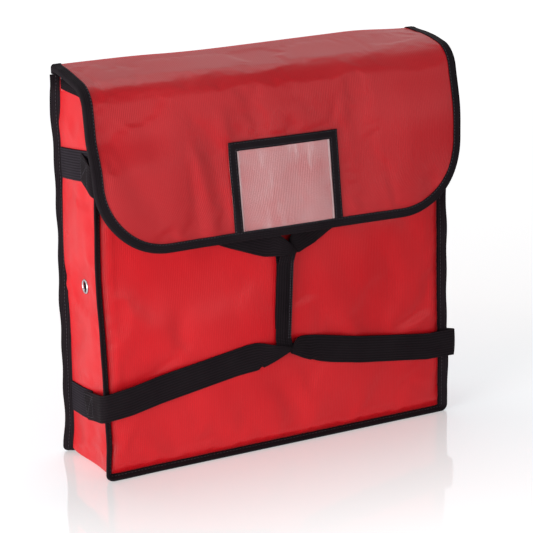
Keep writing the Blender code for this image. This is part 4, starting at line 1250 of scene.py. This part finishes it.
def smoothRows(rows, count, passes=3):  # an even run of rows through the given ones
    rows = np.array(rows, float)
    middle = np.column_stack([rows[:, 0], rows[:, 1], (rows[:, 2] + rows[:, 3]) / 2])
    steps = np.concatenate([[0], np.cumsum(np.linalg.norm(np.diff(middle, axis=0), axis=1))])
    at = np.linspace(0, steps[-1], count)
    fine = np.stack([np.interp(at, steps, rows[:, column]) for column in range(rows.shape[1])], -1)
    for _ in range(passes):
        fine[1:-1] = (fine[:-2] + 2 * fine[1:-1] + fine[2:]) / 4
    return fine, steps[-1]


def strapRows(word, hand):  # x, y, lower edge, upper edge and turn of every row, from the tab to the grip
    sizes, side = strap[word], -1 if hand == "left" else 1
    seam = float(frontSeamY(sizes["cornerZ"], side * bag["frontHalf"]))
    reach = fin["width"] * math.sin(math.pi / 4)
    bendX, bendY = bag["frontHalf"] + reach - strap["wrapReach"], seam - reach + strap["wrapReach"]
    startX = halfWidth(sizes["anchorY"]) + 0.0006 + strap["thick"] * 1.5
    bendX = bendX + (sizes["standOff"] if side > 0 else 0.0)
    arrive = (sizes["cornerZ"] - sizes["anchorZ"]) / (sizes["anchorY"] - bendY)
    leave = (sizes["centreZ"] - sizes["cornerZ"]) / (bendX - strap["loopX"])
    radius = strap["wrapRadius"]

    def climb(turn):  # the band goes on rising or falling as it wraps round the front seam
        return radius * (arrive * turn + (leave - arrive) * turn ** 2 / math.pi)
    lowZ = sizes["cornerZ"] - climb(math.pi / 4)
    path = [(mix(startX, bendX + radius, share), mix(sizes["anchorY"], bendY, share),
             mix(sizes["anchorZ"], lowZ, share), 0.0, arrive) for share in (0, 0.2, 0.4, 0.6, 0.8)]
    for turn in np.linspace(0, math.pi / 2, 7):
        path.append((bendX + radius * math.cos(turn), bendY - radius * math.sin(turn), lowZ + climb(turn), turn,
                     mix(arrive, leave, turn * 2 / math.pi)))
    rows = []
    for x, y, z, turn, slope in path:
        tall = strap["width"] / 2 * math.hypot(1, slope)
        slant = sizes["slant"] * float(1 - ramp(sizes["anchorY"] - y, 0.0, 0.030))
        rows.append((side * x, y, z - tall, z + tall, turn, slant))
    for x, lower, upper, forward in strapFront[word, hand]:
        share = min(1.0, 1 - (abs(x) * mm - strap["loopX"]) / (bendX - strap["loopX"]))
        y = mix(bendY - radius, strap["gripY"], share)
        rows.append((x * mm, y - (forward - 1) * mm, lower * mm, upper * mm, math.pi / 2, 0.0))
    fine, length = smoothRows(rows, 170)
    return np.column_stack([fine, side + 0 * fine[:, 0]]), length


def strapBand(name, rows, length, foldLow):
    # a woven band: where it has less height than its width, the spare part is folded behind
    count = len(rows) - 1
    ahead = np.hypot(np.gradient(rows[:, 0]), np.gradient(rows[:, 1]))
    slope = np.gradient((rows[:, 2] + rows[:, 3]) / 2) / np.maximum(ahead, 1e-5)
    level = np.minimum(np.hypot(1, slope), 1.2)

    def lay(u, v):
        row = np.rint(v * count).astype(int)
        here, tall = rows[row], strap["width"] * level[row]
        share = 1 - u if foldLow else u
        height = here[:, 3] - here[:, 2]
        leg = strap["foldShare"] * tall
        back = np.clip((tall - height) / leg, 0, 1) * math.pi
        front = height - leg * np.clip(np.cos(back), 0, 1)
        split = 1 - strap["foldShare"]
        beyond = np.clip((share - split) / strap["foldShare"], 0, 1)
        leg = np.minimum(leg, front * 0.9)
        up = front * np.clip(share / split, 0, 1) + leg * beyond * np.cos(back)
        inward = np.sin(back) * leg * beyond * 0.6
        inward = inward + (1 - np.cos(back)) / 2 * strap["foldGap"] * np.clip(beyond * 4, 0, 1)
        z = here[:, 3] - up if foldLow else here[:, 2] + up
        crown = strap["crown"] * np.sin(math.pi * u)
        outX, outY = here[:, 6] * np.cos(here[:, 4]), -np.sin(here[:, 4])
        slant = here[:, 5] * (z - (here[:, 2] + here[:, 3]) / 2)
        return here[:, 0] + outX * (crown - inward), here[:, 1] + outY * (crown - inward) + slant, z
    return clothGrid(name, strap["columns"], count, lay, (strap["width"], length))


def finishBand(piece):
    thicken(piece, strap["thick"], 0.0)
    softenEdges(piece, 0.0004)
    smoothShade(piece, 40)
    dress(piece, blackWebbing)


def strapCore(name, path):  # the part bunched up inside the grip's loop
    radius = strap["core"]
    path, _ = smoothRows([(x * mm, strap["gripY"] + back * mm, z * mm, z * mm) for x, back, z in path], 26)

    def lay(u, v):
        here = path[np.rint(v * 25).astype(int)]
        turn = 2 * math.pi * u
        size = radius * (1 + 0.12 * np.sin(3 * turn))
        return here[:, 0] + 0 * u, here[:, 1] + size * np.cos(turn), here[:, 2] + size * np.sin(turn)
    piece = clothGrid(name, 18, 25, lay, (2 * math.pi * radius, 0.04))
    return weldPoints(piece, weldReach)


def sewBox(rows):  # a square of stitches with a cross, near the band's sewn end
    spots = []
    for row, share in ((2, 0.12), (15, 0.12), (15, 0.88), (2, 0.88), (2, 0.12), (15, 0.88)):
        last = spots[-1] if spots else (row, share)
        spots += [(mix(last[0], row, step), mix(last[1], share, step)) for step in np.linspace(0, 1, 12)]
    points, ups = [], []
    for at, share in spots:
        x, y, low, high, turn, slant, side = [float(np.interp(at, range(len(rows)), column))
                                              for column in rows.T]
        z = mix(low, high, share)
        up = (side * math.cos(turn), -math.sin(turn), 0)
        lift = strap["thick"] / 2 + strap["crown"] * math.sin(math.pi * share) + 0.0002
        points.append((x + up[0] * lift, y + up[1] * lift + slant * (z - (low + high) / 2), z))
        ups.append(up)
    return sewRow("box", points, ups, pitch=0.0032)


upperBands, boxes = [], []
for hand, foldLow in (("left", False), ("right", True)):
    rows, length = strapRows("upper", hand)
    boxes.append(sewBox(rows))
    upperBands.append(strapBand("upper", rows, length, foldLow))
core = strapCore("upper", [(-20, 4, 235), (-12, 2, 230), (-7, 0, 225.4), (9, 0, 225.4), (13, 2, 231),
                           (20, 5, 238)])
smoothShade(core, 60)
upper = joinPieces("upper_strap_band", upperBands)
finishBand(upper)
upper = joinPieces("upper_strap_band", [upper, core])
dress(upper, blackWebbing)
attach(upper, "bag")
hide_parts("upper_strap")
for side, hand in ((-1, "left"), (1, "right")):
    rows, length = strapRows("lower", hand)
    boxes.append(sewBox(rows))
    piece = strapBand("lower_strap_band_" + hand, rows, length, True)
    finishBand(piece)
    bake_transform(piece)
    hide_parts("lower_strap_end_" + hand, "lower_strap_span_" + hand)
lowerCore = strapCore("lower_strap_core", [(-20, 5, 113), (-12, 2, 115), (-7, 0, 116.2), (5, 0, 116.2),
                                           (12, 2, 115.5), (18, 5, 114)])
dress(lowerCore, blackWebbing)
smoothShade(lowerCore, 60)
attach(lowerCore, "grip")
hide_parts("lower_strap_fold")
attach(joinPieces("strap_box_stitches", boxes), "bag")
print("straps ready")


grip = {"width": 0.0195, "loop": 0.0054, "waist": 0.0030, "thick": 0.0016, "topZ": 0.2240, "lowZ": 0.1170,
        "legGap": 0.012, "opening": 0.6, "skew": 0.0467, "skewZ": 0.173, "sewFrom": 0.126, "sewTo": 0.216}


def gripPath():
    # once round: up the front, over the upper strap, down the back and under the lower strap
    y, r = strap["gripY"], grip["loop"] + grip["thick"] / 2
    points = []
    legLow, legTop = grip["lowZ"] + grip["legGap"], grip["topZ"] - grip["legGap"]
    for z in np.linspace(legLow, legTop, 24):
        points.append((y - grip["waist"] + grip["thick"] / 2, z, -1, 0))
    for turn in np.linspace(-grip["opening"], math.pi + grip["opening"], 22):
        ahead, rise = -math.cos(turn), math.sin(turn)
        points.append((y + r * ahead, grip["topZ"] + r * rise, ahead, rise))
    for z in np.linspace(legTop, legLow, 24):
        points.append((y + grip["waist"] - grip["thick"] / 2, z, 1, 0))
    for turn in np.linspace(-grip["opening"], math.pi + grip["opening"], 22):
        ahead, rise = math.cos(turn), -math.sin(turn)
        points.append((y + r * ahead, grip["lowZ"] + r * rise, ahead, rise))
    return np.array(points)


def tiltGrip(x, z):  # the grip hangs a little askew
    return x + grip["skew"] * (z - grip["skewZ"])


gripLoop = gripPath()
gripRows = len(gripLoop)


def placeGrip(u, v):
    here = gripLoop[np.rint(v * gripRows).astype(int) % gripRows]
    x = grip["width"] * (u - 0.5)
    crown = 0.0007 * (1 - (2 * u - 1) ** 2) - 0.0009 * np.exp(-((u - 0.66) / 0.05) ** 2)
    return tiltGrip(x, here[:, 1]) + 0 * v, here[:, 0] + here[:, 2] * crown, here[:, 1] + here[:, 3] * crown


sleeve = weldPoints(clothGrid("grip_band", 14, gripRows, placeGrip, (grip["width"], 0.27)), weldReach)
editAll(sleeve, bpy.ops.mesh.normals_make_consistent, inside=False)
thicken(sleeve, grip["thick"])
softenEdges(sleeve, 0.0004)
smoothShade(sleeve, 40)
dress(sleeve, blackWebbing)
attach(sleeve, "grip")
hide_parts("grip_sleeve")
for number, place in enumerate((0.30, 0.42)):
    line = [(tiltGrip(grip["width"] * place, z), strap["gripY"] - grip["waist"] - 0.0004, z)
            for z in np.linspace(grip["sewFrom"], grip["sewTo"], 40)]
    row = sewRow("grip_stitches_%d" % (number + 1), line, [(0, -1, 0)] * len(line), pitch=0.0030)
    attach(row, "grip")
print("grip ready")


tab = {"width": 0.0340, "thick": 0.0016}
for word in ("upper", "lower"):
    sizes = strap[word]
    for side, hand in ((-1, "left"), (1, "right")):
        startY, endY = bag["backY"] - 0.0016, sizes["tabEnd"]

        def placeTab(u, v, side=side, sizes=sizes, startY=startY, endY=endY):
            y = mix(startY, endY, v)
            z = mix(sizes["tabBack"], sizes["tabFront"], v) + (u - 0.5) * tab["width"]
            out = halfWidth(y) + sideFaceOut(y, z, side) + pieceGap + tab["thick"]
            return side * out, y, z
        piece = clothGrid("tab", 12, 20, placeTab, (tab["width"], startY - endY), (side, 0, 0))
        thicken(piece, tab["thick"])
        softenEdges(piece, 0.0004)
        smoothShade(piece, 40)
        piece.name = piece.data.name = word + "_tab_band_" + hand
        dress(piece, greyWebbing)
        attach(piece, "bag")
        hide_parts(word + "_anchor_tab_" + hand)
print("tabs ready")


for side, hand in ((-1, "left"), (1, "right")):
    def placeHook(u, v, side=side):
        x = side * patch["middleX"] + (u - 0.5) * patch["length"]
        run = flap["end"] - patch["above"] + (v - 0.5) * patch["width"]
        return flapPlace(x, run, flap["wall"] + pieceGap + patch["thick"])

    def placeLoop(u, v, side=side):
        x = side * patch["middleX"] + (u - 0.5) * patch["length"]
        z = patch["loopZ"] + (v - 0.5) * patch["width"]
        return x, frontFaceY(x, z, bag["frontHalf"] + 0 * x) - pieceGap - patch["thick"], z
    for name, place, outward, body, node in (("hook_pad_", placeHook, (0, 1, 0), "flap_front", "hook_patch_"),
                                             ("loop_pad_", placeLoop, (0, -1, 0), "bag", "loop_patch_")):
        piece = clothGrid(name + hand, 24, 10, place, (patch["length"], patch["width"]), outward)
        thicken(piece, patch["thick"])
        softenEdges(piece, 0.0005)
        smoothShade(piece, 40)
        dress(piece, hookCloth)
        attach(piece, body)
        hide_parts(node + hand)
print("closure ready")

for side, hand in ((-1, "left"), (1, "right")):
    def placeRing(u, v, side=side):  # turned from its barrel inside the wall out to its rolled rim
        turn = 2 * math.pi * u
        reach, out = (np.interp(v * (len(vent["ring"]) - 1), range(len(vent["ring"])), column) * mm
                      for column in zip(*vent["ring"]))
        y = vent["y"] + reach * np.cos(turn)
        x = side * (halfWidth(vent["y"]) + out + vent["tilt"] * (y - vent["y"]))
        return x, y, vent["height"] + reach * np.sin(turn)
    ring = weldPoints(clothGrid("vent_ring_" + hand, 48, 12, placeRing, (0.05, 0.01)), weldReach)
    thicken(ring, vent["wall"], 0.0)
    smoothShade(ring, 60)
    dress(ring, platedMetal)
    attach(ring, "bag")
    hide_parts("eyelet_" + hand)
    washer = frame["nodes"]["eyelet_washer_" + hand]
    washer.data.materials.clear()
    washer.data.materials.append(platedMetal)


floorSize = {"length": 12.0, "mirror": 0.32, "fade": 0.34, "mirrorTint": (0.66, 0.74, 0.80),
             "foot": (0.212, 0.046), "footMiddle": 0.006,
             "glowRange": (0.5, 2.6), "glow": (0.50, 0.84), "flagFrom": 0.05, "flagTo": 0.45}


def makeFloor():
    bpy.ops.object.select_all(action="DESELECT")
    bpy.ops.mesh.primitive_plane_add(size=floorSize["length"], location=(0, 0, 0))
    floor = bpy.context.object
    floor.name = "floor"
    material, tree, shader = startMaterial("paleFloor", (0.92, 0.92, 0.92), 0.6)
    shader.inputs["Specular IOR Level"].default_value = 0.0
    where = addNode(tree, "ShaderNodeTexCoord")
    far = addNode(tree, "ShaderNodeVectorMath", operation="LENGTH")
    tree.links.new(where.outputs["Object"], far.inputs[0])
    glow = addNode(tree, "ShaderNodeEmission", inputs={"Strength": 1.0})
    bright = mapRange(tree, far.outputs["Value"], *floorSize["glowRange"], *floorSize["glow"])
    lit = addNode(tree, "ShaderNodeAddShader")
    tree.links.new(shader.outputs[0], lit.inputs[0])
    tree.links.new(glow.outputs[0], lit.inputs[1])
    split = addNode(tree, "ShaderNodeSeparateXYZ")
    tree.links.new(where.outputs["Object"], split.inputs[0])
    # the camera sees a pale floor all round, the cloth sees it dark towards the front
    path = addNode(tree, "ShaderNodeLightPath")
    ahead = mathNode(tree, "SUBTRACT", mathNode(tree, "MULTIPLY", split.outputs["X"], 0.6), split.outputs["Y"])
    flagged = mapRange(tree, ahead, floorSize["flagFrom"], floorSize["flagTo"], 1.0, 0.0)
    seen = mathNode(tree, "MAXIMUM", path.outputs["Is Camera Ray"], flagged)
    tree.links.new(mathNode(tree, "MULTIPLY", bright, seen), glow.inputs["Strength"])
    gaps = []
    for axis, middle, half in zip("XY", (0.0, floorSize["footMiddle"]), floorSize["foot"]):
        out = mathNode(tree, "ABSOLUTE", mathNode(tree, "SUBTRACT", split.outputs[axis], middle))
        out = mathNode(tree, "MAXIMUM", mathNode(tree, "SUBTRACT", out, half), 0.0)
        gaps.append(mathNode(tree, "POWER", out, 2.0))
    away = mathNode(tree, "SQRT", mathNode(tree, "ADD", *gaps))  # how far a spot lies from the bag's foot
    share = mapRange(tree, away, 0.0, floorSize["fade"], floorSize["mirror"], 0.0)
    tint = (*floorSize["mirrorTint"], 1.0)
    mirror = addNode(tree, "ShaderNodeBsdfGlossy", inputs={"Roughness": 0.05, "Color": tint})
    both = addNode(tree, "ShaderNodeMixShader")
    tree.links.new(share, both.inputs[0])
    tree.links.new(lit.outputs[0], both.inputs[1])
    tree.links.new(mirror.outputs[0], both.inputs[2])
    tree.links.new(both.outputs[0], tree.nodes["Material Output"].inputs["Surface"])
    floor.data.materials.append(material)
    floor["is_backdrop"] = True


makeFloor()


def makeWorld():
    world = bpy.data.worlds.new("studio")
    scene.world = world
    world.use_nodes = True
    tree = world.node_tree
    plain = tree.nodes["Background"]
    plain.inputs["Color"].default_value = (0.80, 0.80, 0.82, 1)
    plain.inputs["Strength"].default_value = 0.24
    white = addNode(tree, "ShaderNodeBackground", inputs={"Color": (1, 1, 1, 1), "Strength": 1.0})
    path = addNode(tree, "ShaderNodeLightPath")
    seen = mathNode(tree, "MAXIMUM", path.outputs["Is Camera Ray"], path.outputs["Is Transmission Ray"])
    seen = mathNode(tree, "MAXIMUM", seen, path.outputs["Is Glossy Ray"])
    both = addNode(tree, "ShaderNodeMixShader")
    tree.links.new(seen, both.inputs[0])
    tree.links.new(plain.outputs[0], both.inputs[1])
    tree.links.new(white.outputs[0], both.inputs[2])
    tree.links.new(both.outputs[0], tree.nodes["World Output"].inputs["Surface"])


def addLamp(name, place, target, size, power):
    lamp = bpy.data.lights.new(name, "AREA")
    lamp.shape = "RECTANGLE"
    lamp.size, lamp.size_y = size
    lamp.energy = power
    thing = bpy.data.objects.new(name, lamp)
    scene.collection.objects.link(thing)
    thing.location = place
    thing.rotation_euler = (Vector(target) - Vector(place)).to_track_quat("-Z", "Y").to_euler()


makeWorld()
addLamp("leftSoftbox", (-1.35, -0.50, 0.40), (0, 0, 0.2), (1.0, 0.8), 15.5)
addLamp("frontSoftbox", (-0.6, -2.2, 0.35), (0, 0, 0.15), (1.6, 0.7), 7)
addLamp("rightCard", (1.15, -2.2, 0.55), (0.1, 0, 0.3), (0.8, 0.9), 6)
addLamp("overhead", (0.2, 0.7, 2.4), (0, 0, 0.4), (1.6, 1.2), 17)

camera = {"place": (-1.19654, -2.24199, 1.01257), "target": (0.00172, -0.00388, 0.19669), "roll": -0.669,
          "lens": 162.70}


def makeCamera():
    data = bpy.data.cameras.new("camera")
    data.sensor_width = 36
    data.lens = camera["lens"]
    thing = bpy.data.objects.new("camera", data)
    scene.collection.objects.link(thing)
    thing.location = camera["place"]
    aim = (Vector(camera["target"]) - Vector(camera["place"])).to_track_quat("-Z", "Y")
    thing.rotation_euler = (aim.to_matrix() @ Matrix.Rotation(math.radians(camera["roll"]), 3, "Z")).to_euler()
    data.clip_start, data.clip_end = 0.05, 50
    scene.camera = thing


makeCamera()
scene.view_settings.view_transform = "Standard"

low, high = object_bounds()
print("scene ready")
